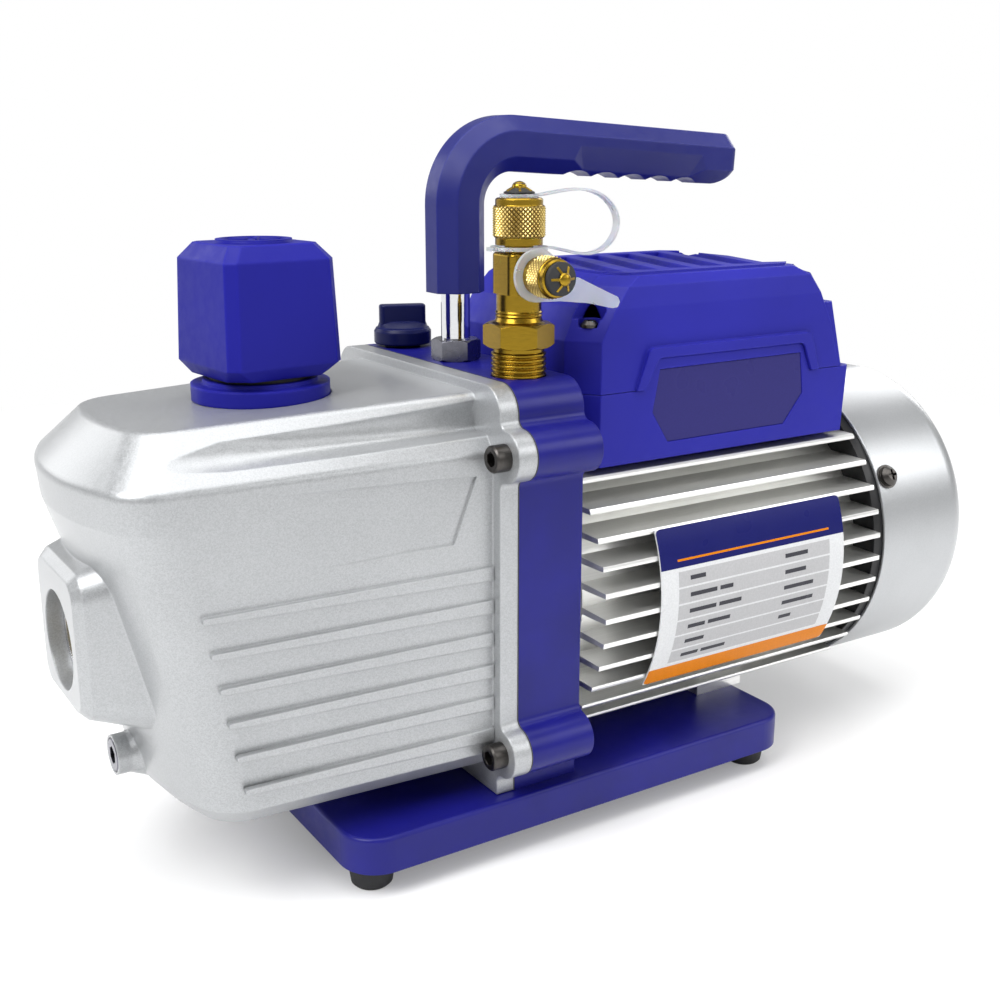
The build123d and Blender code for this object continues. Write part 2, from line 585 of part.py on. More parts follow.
def hand_hold(side):
    """The slanted cut under one side of the grip where the fingers close, in the grip's own frame."""
    low, high = -GRIP_H / 2 - 3.0, 1.0
    outer = [(HOLD_X0, low), (HOLD_X0 + 8.0, high), (HOLD_X1 - 7.0, high), (HOLD_X1, low)]
    inner = [(HOLD_X0 + 12.0, low - 1.0), (HOLD_X0 + 14.0, low + 2.0), (HOLD_X1 - 13.0, low + 2.0),
             (HOLD_X1 - 11.0, low - 1.0)]
    faces = []
    for outline, y in ((outer, GRIP_W / 2 + 0.1), (inner, GRIP_W / 2 - HOLD_DEPTH)):
        faces.append(make_face(Polyline(*[(x, side * y, z) for x, z in outline], close=True)))
    return loft(faces, ruled=True)


def make_handle():
    start = Vector(TOP_ROW_X, 0, POST_BOTTOM)
    bend_z = GRIP_LEVEL - BEND_R
    corner = Vector(TOP_ROW_X, 0, bend_z)
    centre = Vector(TOP_ROW_X + BEND_R, 0, bend_z)

    def on_bend(angle):
        return centre + Vector(-BEND_R * cos(radians(angle)), 0, BEND_R * sin(radians(angle)))

    turn = 90 + GRIP_FALL
    leave = on_bend(turn)
    run = (GRIP_END_X - leave.X) / cos(radians(GRIP_FALL))
    end = leave + Vector(cos(radians(GRIP_FALL)), 0, -sin(radians(GRIP_FALL))) * run
    path = Line(start, corner) + ThreePointArc(corner, on_bend(turn / 2), leave) + Line(leave, end)
    grip = sweep(Plane(origin=start, x_dir=(1, 0, 0), z_dir=(0, 0, 1)) * octagon(), path=path)
    grip = fillet(grip.faces().sort_by(Axis.X)[-1].edges(), GRIP_END_CUT)
    under = -GRIP_H / 2
    cuts = [hand_hold(-1), hand_hold(1)]
    for i in range(SCALLOPS):
        x = SCALLOP_FIRST + SCALLOP_PITCH * i
        cuts.append(rod_y(SCALLOP_R, -20, 20, x, under + SCALLOP_DEPTH - SCALLOP_R))
    toe_x, toe_z = run - GRIP_TOE_R, under + GRIP_TOE_R
    cuts.append(block(toe_x, run + 5, -20, 20, under - 5, toe_z) - rod_y(GRIP_TOE_R, -30, 30, toe_x, toe_z))
    for cut in cuts:
        grip -= Pos(leave.X, 0, leave.Z) * Rot(0, GRIP_FALL, 0) * cut
    grip -= rod_z(POST_R + 0.02, POST_BOTTOM - 1, POST_BOTTOM + 26, TOP_ROW_X, 0)
    save("handle_grip", grip)
    post = rod_z(POST_R, BRACKET_TOP - 15, POST_BOTTOM + 25, TOP_ROW_X, 0)
    save("handle_post", post)
    nut = hex_prism(NUT_FLATS, 0, NUT_H, 27.0, 1.4) - Cylinder(POST_R + 0.02, 60)
    save("handle_nut", Pos(TOP_ROW_X, 0, BRACKET_TOP) * nut)


# ---------------------------------------------------------------- intake fitting and flare caps
def make_intake_fitting():
    outline = [(0, -13.5)] + ridged(10.2, 9.4, -13.5, HEX_Z0, 1.9) + [(10.2, HEX_Z0 + 0.1), (10.2, HEX_Z1)]
    outline += [(8.9, HEX_Z1 + 0.6)]
    outline += [(8.3, 21.6), (8.7, 22.2), (8.3, 22.8), (8.7, 23.4), (8.25, 24.0), (8.25, 30.0), (8.0, 30.2)]
    outline += [(0, 30.2)]
    body = turned(outline) + hex_prism(22.8, HEX_Z0, HEX_Z1, 27.0, 1.6)
    tee = Pos(0, 0, 30.0) * extrude(RectangleRounded(15.6, 15.6, 3.5), 14.8)
    tee = fillet(tee.edges().group_by(Axis.Z)[-1], 1.2)
    collar = turned([(0, 44.0), (5.2, 44.0), (5.2, 48.2), (0, 48.2)])
    thread = turned([(0, 48.0)] + ridged(TOP_THREAD_R, 7.2, 48.0, 58.8, 1.41) + [(5.4, 59.4), (0, 59.4)])
    side_ridges = ridged(SIDE_THREAD_R, 4.9, 12.0, 20.9, 1.27)
    side = turned([(0, 6.0), (5.0, 6.0), (5.0, 12.0)] + side_ridges + [(3.6, 22.0), (0, 22.0)])
    body += tee + collar + thread
    body += Pos(0, 0, TEE_Z - BRACKET_TOP) * FACE_NEAR * side
    body -= Pos(0, 0, -14) * Cylinder(5.6, 50, align=RISE)
    body -= Pos(0, 0, 30) * Cylinder(3.4, 40, align=RISE)
    body -= Pos(0, 0, TEE_Z - BRACKET_TOP) * FACE_NEAR * Cylinder(2.4, 30, align=RISE)
    save("intake_fitting", Pos(INTAKE_X, INTAKE_Y, BRACKET_TOP) * body)
    wire = rod_z(5.5, BRACKET_TOP - 13, BRACKET_TOP - 11.6, INTAKE_X, INTAKE_Y)
    for r in (1.6, 3.6):
        for i in range(6 if r < 2 else 12):
            angle = 2 * pi * i / (6 if r < 2 else 12)
            wire -= rod_z(0.7, 160, 190, INTAKE_X + r * cos(angle), INTAKE_Y + r * sin(angle))
    save("intake_screen", wire)


def flare_cap(knurl_r, band_r, length, bore_r, depth):
    """A screw cap about Z, open at z = 0: plain bands at both ends and a wider gripping band between."""
    low, high = 2.3, length - 2.4
    outline = [(0, 0), (band_r, 0), (band_r, low), (knurl_r, low + 0.5), (knurl_r, high - 0.5)]
    outline += [(band_r, high), (band_r, length - 0.5), (band_r - 0.6, length), (0, length)]
    cap = turned(outline) - Pos(0, 0, -1) * Cylinder(bore_r, depth + 1, align=RISE)
    return cap - Pos(0, 0, depth - 1) * Cylinder(2.6, length, align=RISE)


def cap_insert(disc_r, base):
    """The rubber seal button that pokes through a flare cap, about Z."""
    outline = [(0, -4.4), (7.0, -4.4), (7.0, -3.1), (2.55, -3.1), (2.55, 1.5), (disc_r, 1.5), (disc_r, 2.0)]
    outline += [(2.6, 3.5), (2.2, 5.0), (1.0, 5.6), (0, 5.6)]
    return Pos(0, 0, base) * turned(outline)


def strap(points, thick, width):
    """A flat moulded strap that follows a smooth curve in the XZ plane."""
    line = Spline(*points)
    normal_plane = Plane(origin=line @ 0, x_dir=(0, 1, 0), z_dir=line % 0)
    return sweep(normal_plane * Rectangle(width, thick), path=line)


def make_top_cap():
    top_z = TOP_CAP_Z + 16.4
    cap = flare_cap(9.0, 8.6, 16.4, TOP_THREAD_R + 0.1, 13.4)
    save("top_flare_cap", Pos(INTAKE_X, INTAKE_Y, TOP_CAP_Z) * cap)
    save("top_cap_button", Pos(INTAKE_X, INTAKE_Y, TOP_CAP_Z) * cap_insert(5.6, 16.4))
    upper = rod_z(7.0, top_z + 0.1, top_z + 1.3, INTAKE_X, INTAKE_Y)
    low_z, high_z = TOP_CAP_Z - 1.9, TOP_CAP_Z - 0.6
    lower = rod_z(10.4, low_z, high_z, INTAKE_X, INTAKE_Y)
    lower += block(INTAKE_X - 12.6, INTAKE_X - 8, INTAKE_Y - 2, INTAKE_Y + 2, low_z, high_z)
    x, z = INTAKE_X, top_z + 0.7
    loop = [(x + 6.0, z), (x + 18.0, z + 1.4), (x + 31.0, z + 1.3), (x + 39.2, z - 2.5), (x + 43.8, z - 10.2)]
    loop += [(x + 40.5, z - 17.8), (x + 31.8, z - 21.5), (x + 21.0, z - 20.2), (x + 9.6, z - 18.4)]
    band = strap([(px, INTAKE_Y, pz) for px, pz in loop], 0.9, 3.2)
    tether = upper + lower + band
    tether -= rod_z(2.8, top_z - 1, top_z + 3, INTAKE_X, INTAKE_Y)
    tether -= rod_z(8.35, TOP_CAP_Z - 3, TOP_CAP_Z, INTAKE_X, INTAKE_Y)
    save("top_cap_tether", tether)


def make_side_cap():
    stand = Pos(INTAKE_X, INTAKE_Y, TEE_Z) * FACE_NEAR
    cap = flare_cap(7.0, 6.7, 12.6, SIDE_THREAD_R + 0.1, 10.8)
    save("side_flare_cap", stand * Pos(0, 0, SIDE_CAP_Y) * cap)
    button = turned([(0, 9.5), (5.0, 9.5), (5.0, 10.7), (2.55, 10.7), (2.55, 12.9), (5.9, 12.9),
                     (5.9, 14.6), (3.0, 15.9), (0, 16.3)])
    save("side_cap_button", stand * Pos(0, 0, SIDE_CAP_Y) * button)
    y0 = INTAKE_Y - SIDE_CAP_Y + 0.3
    plane = Plane(origin=(INTAKE_X, y0, TEE_Z), x_dir=(1, 0, 0), z_dir=(0, 1, 0))
    ring = plane * Circle(9.4)
    points = [(7.2, 5.6), (18.0, 1.6), (30.0, 7.0), (36.0, 9.6), (36.9, 11.4), (35.9, 13.4), (33.6, 13.6)]
    points += [(22.0, 11.0), (10.0, 9.6), (0.0, 9.3)]
    outline = make_face(Polyline(*points, close=True))
    tab = plane * fillet(outline.vertices().filter_by_position(Axis.X, 35, 40), 0.6)
    tether = extrude(ring + tab, 1.5) - rod_y(6.0, y0 - 1, y0 + 3, INTAKE_X, TEE_Z)
    save("side_cap_tether", tether)


# ---------------------------------------------------------------- motor
def fin_outline():
    """The motor extrusion seen along X: a round shell with level fins on both sides."""
    face = Pos(0, AXIS_Z) * Circle(MOTOR_SHELL_R)
    for i in range(FIN_COUNT):
        z = FIN_FIRST_Z + FIN_PITCH * i
        rise = z - AXIS_Z
        reach = sqrt(FIN_TIP_R**2 - rise**2)
        root = sqrt(max(MOTOR_SHELL_R**2 - rise**2, 0.0)) - 12.0 if abs(rise) < 52 else 18.0
        for side in (-1, 1):
            points = [(side * root, z - FIN_ROOT_T / 2), (side * reach, z - FIN_TIP_T / 2)]
            points += [(side * reach, z + FIN_TIP_T / 2), (side * root, z + FIN_ROOT_T / 2)]
            face += make_face(Polyline(*points, close=True))
    face = face & (Pos(0, AXIS_Z) * Circle(FIN_TIP_R))
    face -= Pos(0, MOTOR_FLAT_Z + 20) * Rectangle(200, 40)
    return Plane.YZ * face


def make_motor_housing():
    body = Pos(FIN_X0, 0, 0) * extrude(fin_outline(), MOTOR_X1 - FIN_X0) + rod_x(52.5, MOTOR_X0, FIN_X0 + 1)
    body += block(72.0, 98.0, -32.0, 32.0, PLATE_TOP, 45.0)
    body -= rod_x(MOTOR_BORE_R, MOTOR_X0 + 7.0, MOTOR_X1 + 1)
    body -= rod_x(BEARING_SEAT_R, MOTOR_X0 - 1, MOTOR_X0 + 8)
    for x, y in BOLT_PLACES[4:]:
        body -= rod_z(BOLT_R + 0.02, PLATE_TOP - 1, PLATE_BOTTOM + 27, x, y)
    save("motor_housing", body)


def cover_screw_place(angle, radius):
    """Where one of the fan cover's screws stands, at an angle and radius about the shaft, pointing out."""
    return Pos(COVER_SCREW_X, 0, AXIS_Z) * Rot(90 - angle, 0, 0) * Pos(0, 0, radius)


def make_rear_end_shield():
    rim = ring_x(67.9, 54.0, MOTOR_X1 + 0.2, SHIELD_X1)
    wall = rod_x(60.0, MOTOR_X1 + 0.2, MOTOR_X1 + 6.2)
    hub = rod_x(20.0, MOTOR_X1 + 0.2, MOTOR_X1 + 11.0)
    shield = rim + wall + hub
    shield -= rod_x(BEARING_SEAT_R, MOTOR_X1 - 1, MOTOR_X1 + 9.4) + rod_x(9.5, MOTOR_X1, MOTOR_X1 + 20)
    for i in range(12):
        vent = Pos(MOTOR_X1 + 3, 0, AXIS_Z) * Rot(30 * i + 15, 0, 0) * Pos(0, 0, 38) * Box(12, 8, 20)
        shield -= vent
    for angle in COVER_SCREW_ANGLES:
        shield -= cover_screw_place(angle, 58) * Cylinder(1.8, 14, align=RISE)
    save("rear_end_shield", shield)


def make_motor_inside():
    core = ring_x(MOTOR_BORE_R - 0.02, 30.0, 25.0, 95.0)
    coils = ring_x(46.0, 32.5, 8.0, 24.6) + ring_x(46.0, 32.5, 95.4, 112.0)
    for i in range(SLOTS):
        place = Pos(60.0, 0, AXIS_Z) * Rot(360 / SLOTS * i, 0, 0) * Pos(0, 0, 38.5)
        core -= place * Box(80, 4.4, 10.0)
        coils += place * Box(72, 4.0, 9.6)
    save("stator_core", core)
    save("stator_windings", coils)
    cage = rod_x(29.6, 26.0, 94.0) + rod_x(26.0, 19.0, 101.0)
    save("motor_rotor_core", cage - rod_x(SHAFT_R + 0.01, 10, 110))
    shaft = rod_x(SHAFT_R, SHAFTS_MEET + 0.05, 172.0)
    shaft = chamfer(shaft.edges().filter_by(GeomType.CIRCLE), 0.6)
    save("motor_shaft", shaft)
    races = []
    for x0 in (MOTOR_X0 + 0.6, MOTOR_X1 + 0.6):
        groove = ring_x(13.2, 10.8, x0, x0 + 1.0)
        races.append(ring_x(BEARING_SEAT_R - 0.04, SHAFT_R + 0.05, x0, x0 + 8.6) - groove)
    save("motor_bearings", *races)


def make_cooling_fan():
    fan = rod_x(14.0, 160.0, 176.0) + rod_x(34.0, 160.0, 162.0)
    for i in range(FAN_BLADES):
        blade = Pos(160.0, 0, AXIS_Z) * Rot(360 / FAN_BLADES * i, 0, 0) * block(0, 20, -1.1, 1.1, 12, 60)
        fan += blade
    fan -= rod_x(SHAFT_R + 0.01, 150, 172.2)
    save("cooling_fan", fan)


def make_fan_cover():
    outline = [(0, 0), (COVER_R, 0), (COVER_R, BACK_X - COVER_X0), (0, BACK_X - COVER_X0)]
    cup = turned(outline)
    cup = fillet(cup.edges().group_by(Axis.Z)[-1], COVER_EDGE_R)
    inner = turned([(0, -1), (COVER_R - COVER_T, -1), (COVER_R - COVER_T, BACK_X - COVER_X0 - COVER_T),
                    (0, BACK_X - COVER_X0 - COVER_T)])
    inner = fillet(inner.edges().group_by(Axis.Z)[-1], COVER_EDGE_R - COVER_T)
    cup -= inner
    for radius, count, width in GRILLE_RINGS:
        for i in range(count):
            slot = SlotCenterToCenter(width, 4.0)
            around = Rot(0, 0, 360 / count * i) * Pos(radius, 0, BACK_X - COVER_X0 - 4)
            cup -= around * Rot(0, 0, 90) * extrude(slot, 10)
    cover = Pos(COVER_X0, 0, AXIS_Z) * FACE_BACK * cup
    for angle in COVER_SCREW_ANGLES:
        cover -= cover_screw_place(angle, 60) * Cylinder(2.0, 14, align=RISE)
    save("fan_cover", cover)
    screw = pan_screw(4.4, 3.2, 1.75, 8.0)
    washer = Cylinder(5.4, 0.8, align=RISE) - Cylinder(1.9, 4)
    screws = []
    for angle in COVER_SCREW_ANGLES:
        screws.append(cover_screw_place(angle, COVER_R + 0.8) * screw)
        screws.append(cover_screw_place(angle, COVER_R + 0.01) * washer)
    save("fan_cover_screws", *screws)


def make_nameplate():
    low, high = PLATE_ANGLES
    inner, outer = FIN_TIP_R + 0.35, FIN_TIP_R + 1.05

    def at(radius, angle):
        return (-radius * cos(radians(angle)), AXIS_Z + radius * sin(radians(angle)))

    mid = (low + high) / 2
    edges = ThreePointArc(at(outer, low), at(outer, mid), at(outer, high)).edges()
    edges += ThreePointArc(at(inner, low), at(inner, mid), at(inner, high)).edges()
    edges += Line(at(outer, low), at(inner, low)).edges() + Line(at(outer, high), at(inner, high)).edges()
    plate = Pos(NAMEPLATE_X0, 0, 0) * extrude(Plane.YZ * make_face(edges), NAMEPLATE_X1 - NAMEPLATE_X0)
    save("nameplate", plate)


# ---------------------------------------------------------------- terminal box
def box_section(z, front, back, half, cut_x, cut_y, back_cut):
    """One level of the box: long front corner cuts and small rear ones."""
    points = [(front, half - cut_y), (front + cut_x, half), (back - back_cut, half), (back, half - back_cut)]
    points += [(x, -y) for x, y in reversed(points)]
    return Plane(origin=(0, 0, z)) * make_face(Polyline(*points, close=True))


def box_lower(skin, z0, z1):
    a = box_section(z0, BOX_X0 + skin, BOX_X1 + skin * -1, BOX_HALF_W - skin, 9.0, 12.0, 3.0)
    b = box_section(z1, BOX_X0 + skin, BOX_X1 + 1.6 - skin, BOX_HALF_W - skin, 9.0, 12.0, 3.0)
    return loft([a, b], ruled=True)


def box_upper(skin, z0):
    seam = box_section(z0, BOX_X0 + skin, 129.5 - skin, BOX_HALF_W - skin, 9.0, 12.0, 3.0)
    waist = box_section(193.0, BOX_X0 + 0.8 + skin, 124.0 - skin, 51.0 - skin, 9.0, 12.0, 3.0)
    shoulder = box_section(205.0, -3.0 + skin, 119.5 - skin, 50.0 - skin, 10.0, 12.0, 4.0)
    brow = box_section(213.0 - skin * 0.6, 4.0 + skin, 115.0 - skin, 48.6 - skin, 10.0, 12.0, 5.0)
    roof = box_section(BOX_TOP - skin, 11.0 + skin, 109.0 - skin, 45.4 - skin, 10.0, 12.0, 6.0)
    sections = [seam, waist, shoulder, brow, roof]
    body = loft(sections[:2], ruled=True)
    for a, b in zip(sections[1:], sections[2:]):
        body += loft([a, b], ruled=True)
    low = box_section(z0, 100.0, LID_REAR_LOW - skin, BOX_HALF_W - skin, 1.0, 1.0, 3.0)
    high = box_section(LID_LEDGE_Z - skin, 100.0, LID_REAR_HIGH - skin, 49.5 - skin, 1.0, 1.0, 3.0)
    return body + loft([low, high], ruled=True)


def seam_step(grow, top):
    """The raised tongue of the lower half that carries the badge, as a block through the near wall."""
    outline = Polyline((20.0 - grow, BOX_SEAM - 0.01), (26.5 - grow, top + grow), (104.0 + grow, top + grow),
                       (109.5 + grow, BOX_SEAM - 0.01), close=True)
    face = make_face(outline)
    face = fillet([v for v in face.vertices() if v.Y > top - 2], 3.0)
    return extrude(Plane.XZ * face, BOX_HALF_W + 3.0)


def make_terminal_box_base():
    body = box_lower(0, BOX_BOTTOM, BOX_SEAM) - box_lower(BOX_WALL, BOX_BOTTOM + BOX_WALL, BOX_SEAM + 1)
    near = block(-40, 160, -BOX_HALF_W, -BOX_HALF_W + BOX_WALL, BOX_SEAM - 6, 200)
    body += seam_step(0, BADGE_PANEL_TOP) & near
    for x, y in LID_SCREWS:
        body += rod_z(5.0, BOX_BOTTOM + 1, BOX_SEAM - 0.5, x, y) & box_lower(0.5, BOX_BOTTOM, BOX_SEAM)
        body -= rod_z(1.6, BOX_SEAM - 14, BOX_SEAM + 1, x, y)
    badge = make_face(Polyline(*BADGE_POINTS, close=True))
    recess = Plane(origin=(0, -BOX_HALF_W + 0.9, 0), x_dir=(1, 0, 0), z_dir=(0, -1, 0)) * badge
    body -= extrude(recess, 5.0)
    body -= rod_z(6.0, BOX_BOTTOM - 1, BOX_BOTTOM + 5, 30, 0)
    save("terminal_box_base", body)


def make_box_badge():
    inner = make_face(Polyline(*BADGE_POINTS, close=True))
    inner = offset(inner, -0.25, kind=Kind.INTERSECTION)
    plane = Plane(origin=(0, -BOX_HALF_W + 0.88, 0), x_dir=(1, 0, 0), z_dir=(0, -1, 0))
    save("box_badge", extrude(plane * inner, 0.55))


def make_terminal_box_lid():
    z0 = BOX_SEAM + SEAM_GAP
    body = box_upper(0, z0) - box_upper(BOX_WALL, z0 - 0.01)
    near_wall = block(0, 130, -BOX_HALF_W - RIM_OUT, -BOX_HALF_W + BOX_WALL, z0, 200)
    body += seam_step(RIM_W, BADGE_PANEL_TOP) & near_wall
    body -= seam_step(SEAM_GAP, BADGE_PANEL_TOP) & block(-40, 160, -90, -BOX_HALF_W + BOX_WALL + 8, 160, 200)
    panel = Pos(0, 0, BOX_TOP - 1) * extrude(make_face(Polyline(*PANEL_POINTS, close=True)), 1.9)
    body += panel
    for i in range(LOUVRES):
        x = 26.5 + 17.4 * i
        slot = Pos(x, 0, BOX_TOP + 1.0) * Rot(0, 0, -17.5) * Rot(0, 10, 0) * Box(10.5, 72.0, 2.6)
        body -= slot & block(14, 116, -37, 37, BOX_TOP - 1.6, BOX_TOP + 4)
    for x, y in LID_SCREWS:
        side = -12.0 if x < 50 else 12.0
        post = rod_z(5.4, BOX_SEAM + SEAM_GAP, LID_POCKET_Z, x, y) & box_upper(0.5, z0)
        body += post
        x0, x1 = sorted((x + side, x - side * 0.38))
        pocket = block(x0, x1, y - 4.6, y + 4.6, LID_POCKET_Z, BOX_TOP - 5.5)
        pocket += rod_z(4.4, LID_SEAT_Z, BOX_TOP - 5.5, x, y)
        body -= pocket if x < 50 else rod_z(4.4, LID_SEAT_Z, BOX_TOP + 5, x, y)
        body -= rod_z(2.1, BOX_SEAM - 1, LID_SEAT_Z + 1, x, y)
    body -= extrude(back_plane(INLET_Y, INLET_Z) * Rectangle(28.2, 20.2), 8.0, both=True)
    body -= extrude(back_plane(SWITCH_Y, SWITCH_Z) * Rectangle(14.4, 21.2), 8.0, both=True)
    save("terminal_box_lid", body)


def make_lid_screws():
    screw = pan_screw(3.6, 2.6, 1.55, 36.0)
    save("lid_screws", *[Pos(x, y, LID_SEAT_Z + 0.01) * screw for x, y in LID_SCREWS])


def back_plane(y, z):
    """A plane on the lid's leaning rear wall at a height, facing back."""
    foot_z = BOX_SEAM + SEAM_GAP
    slope = (LID_REAR_LOW - LID_REAR_HIGH) / (LID_LEDGE_Z - foot_z)
    x = LID_REAR_LOW - (z - foot_z) * slope
    return Plane(origin=(x, y, z), x_dir=(0, 1, 0), z_dir=(1, 0, slope))


def make_power_inlet():
    plane = back_plane(INLET_Y, INLET_Z)
    bezel = extrude(plane.offset(0.05) * RectangleRounded(31.0, 24.0, 3.0), 2.0)
    body = extrude(plane.offset(0.06) * RectangleRounded(27.6, 19.6, 3.0), -16.0)
    recess = extrude(plane.offset(3.0) * RectangleRounded(24.6, 16.6, 2.5), -17.0)
    inlet = bezel + body - recess
    for u, v in ((-7.0, -2.0), (7.0, -2.0), (0.0, 2.0)):
        inlet += extrude(plane.offset(-15.0) * Pos(u, v) * Rectangle(2.0, 4.0), 9.5)
    save("power_inlet", inlet)


def make_switch():
    plane = back_plane(SWITCH_Y, SWITCH_Z)
    bezel = extrude(plane.offset(0.05) * RectangleRounded(18.0, 25.0, 1.5), 1.8)
    body = extrude(plane.offset(0.06) * RectangleRounded(13.8, 20.6, 1.0), -16.0)
    room = extrude(plane.offset(3.0) * Rectangle(11.4, 18.9), -16.0)
    save("switch_housing", bezel + body - room)
    pivot = plane.offset(-3.0)
    trim = make_face(Polyline((-20, -4.5), (-20, 3.3), (0, 4.7), (20, 3.3), (20, -4.5), close=True))
    profile = Circle(ROCKER_R) & trim
    tilt = Rot(0, 0, ROCKER_TILT)
    side_on = Plane(origin=pivot.origin, x_dir=pivot.y_dir, z_dir=pivot.x_dir)
    rocker = extrude(side_on * (tilt * profile), 5.4, both=True)
    save("switch_rocker", rocker)


def make_run_capacitor():
    can = rod_x(17.0, 20.0, 92.0, 24.0, 166.0) + rod_x(5.0, 92.0, 98.0, 24.0, 166.0)
    save("run_capacitor", fillet(can.edges().filter_by(GeomType.CIRCLE).group_by(Axis.X)[0], 1.5))


# ---------------------------------------------------------------- vane pump inside the casing
def pump_bolt_places():
    """Four long bolts that clamp the pump's stages to the bracket."""
    return [(35.0 * cos(radians(a)), BORE_Z + 35.0 * sin(radians(a))) for a in (40, 140, 220, 320)]


def stage(x0, x1):
    """A round pump stage with a flat milled on top."""
    body = rod_x(STAGE_R, x0, x1, 0, BORE_Z)
    body -= block(x0 - 1, x1 + 1, -60, 60, BORE_Z + 36.0, BORE_Z + 60)
    for y, z in pump_bolt_places():
        body -= rod_x(3.2, x0 - 1, x1 + 1, y, z)
    return body


def make_pump_stages():
    large = stage(*LARGE_STAGE) - rod_x(BORE_R, LARGE_STAGE[0] - 1, LARGE_STAGE[1] + 1, 0, BORE_Z)
    save("pump_stage_large", large)
    plate = stage(*MIDDLE_PLATE) - rod_x(PUMP_SHAFT_R + RUN_GAP, MIDDLE_PLATE[0] - 1, MIDDLE_PLATE[1] + 1)
    save("pump_middle_plate", plate)
    small = stage(*SMALL_STAGE) - rod_x(BORE_R, SMALL_BORE_FRONT, SMALL_STAGE[1] + 1, 0, BORE_Z)
    small -= rod_x(PUMP_SHAFT_R + RUN_GAP, SMALL_STAGE[0] - 1, SMALL_STAGE[1])
    small -= rod_z(3.0, BORE_Z + 20, BORE_Z + 40, -106.0, 14.0)
    save("pump_stage_small", small)


def rotor(x0, x1, shaft_x0, shaft_x1):
    """A rotor drum on its shaft, with one slot each side for its vanes."""
    drum = rod_x(ROTOR_R, x0 + 0.1, x1 - 0.1) + rod_x(PUMP_SHAFT_R, shaft_x0, shaft_x1)
    for side in (-1, 1):
        near, far = sorted((side * 7.0, side * 30.0))
        drum -= block(x0, x1, near, far, AXIS_Z - SLOT_T / 2, AXIS_Z + SLOT_T / 2)
    return drum


def make_rotors():
    save("pump_rotor_large", rotor(*LARGE_STAGE, -93.9, SHAFTS_MEET - 0.05))
    save("pump_rotor_small", rotor(SMALL_BORE_FRONT, SMALL_STAGE[1], -124.5, -94.1))
    for stage_name, (x0, x1) in (("large", LARGE_STAGE), ("small", (SMALL_BORE_FRONT, SMALL_STAGE[1]))):
        for side_name, side in (("near", -1), ("far", 1)):
            low, high = sorted((side * VANE_IN, side * VANE_TIP))
            vane = block(x0 + 0.2, x1 - 0.2, low, high, AXIS_Z - VANE_T / 2, AXIS_Z + VANE_T / 2)
            save(f"vane_{stage_name}_{side_name}", vane)


def make_pump_fittings():
    bolt = FACE_FRONT * cap_screw(5.0, 6.0, 2.98, SMALL_STAGE[0] * -1 + BRACKET_FRONT + 8.0, 2.9)
    save("pump_bolts", *[Pos(SMALL_STAGE[0], y, z) * bolt for y, z in pump_bolt_places()])
    seal = ring_x(12.95, PUMP_SHAFT_R + RUN_GAP, BRACKET_FRONT + 1.0, BRACKET_FRONT + 9.0)
    save("shaft_seal", seal)
    hub = rod_x(18.0, -33.0, -21.0) - rod_x(PUMP_SHAFT_R + 0.02, -34.0, SHAFTS_MEET)
    hub -= rod_x(SHAFT_R + 0.02, SHAFTS_MEET, -20.0)
    hub -= ring_x(20.0, 16.8, SHAFTS_MEET - 0.9, SHAFTS_MEET + 0.9)
    save("shaft_coupling", hub)
    flat_z = BORE_Z + 36.0
    reed = block(-111.0, -101.0, 4.0, 24.0, flat_z + 0.02, flat_z + 0.5)
    stop = block(-111.0, -101.0, 4.0, 24.0, flat_z + 0.5, flat_z + 2.2)
    stop -= rod_x(14.0, -112, -100, 17.0, flat_z - 12.4)
    save("exhaust_reed_valve", reed + stop)


# ---------------------------------------------------------------- build every node
make_base_plate()
make_rubber_feet()
make_base_bolts()
make_pump_bracket()
make_oil_casing()
make_casing_gasket()
make_casing_screws()
make_sight_glass()
make_drain_plug()
make_exhaust_port()
make_exhaust_cap()
make_gas_ballast_knob()
make_handle()
make_intake_fitting()
make_top_cap()
make_side_cap()
make_motor_housing()
make_rear_end_shield()
make_motor_inside()
make_cooling_fan()
make_fan_cover()
make_nameplate()
make_terminal_box_base()
make_box_badge()
make_terminal_box_lid()
make_lid_screws()
make_power_inlet()
make_switch()
make_run_capacitor()
make_pump_stages()
make_rotors()
make_pump_fittings()
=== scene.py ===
"""Looks of the rotary vane vacuum pump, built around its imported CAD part. Units are metres, row frame."""
import json
import math

import bmesh
import bpy
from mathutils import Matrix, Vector


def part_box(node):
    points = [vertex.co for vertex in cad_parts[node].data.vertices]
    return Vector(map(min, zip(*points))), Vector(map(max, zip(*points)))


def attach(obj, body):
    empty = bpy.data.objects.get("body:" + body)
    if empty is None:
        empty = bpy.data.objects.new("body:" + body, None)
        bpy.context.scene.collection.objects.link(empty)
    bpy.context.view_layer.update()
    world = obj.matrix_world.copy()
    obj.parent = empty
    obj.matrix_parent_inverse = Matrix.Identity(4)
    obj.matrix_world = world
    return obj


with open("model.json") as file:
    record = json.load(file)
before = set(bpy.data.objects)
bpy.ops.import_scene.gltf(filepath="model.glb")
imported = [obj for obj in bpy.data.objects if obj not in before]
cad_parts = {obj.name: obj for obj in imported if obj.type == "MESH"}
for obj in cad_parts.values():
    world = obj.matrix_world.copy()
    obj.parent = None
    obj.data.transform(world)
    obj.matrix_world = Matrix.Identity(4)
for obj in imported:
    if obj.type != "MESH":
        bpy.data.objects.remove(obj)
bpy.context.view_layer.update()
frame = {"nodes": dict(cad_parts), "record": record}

CAD = frame["nodes"]
MM = 0.001

# ---------------------------------------------------------------- driving values

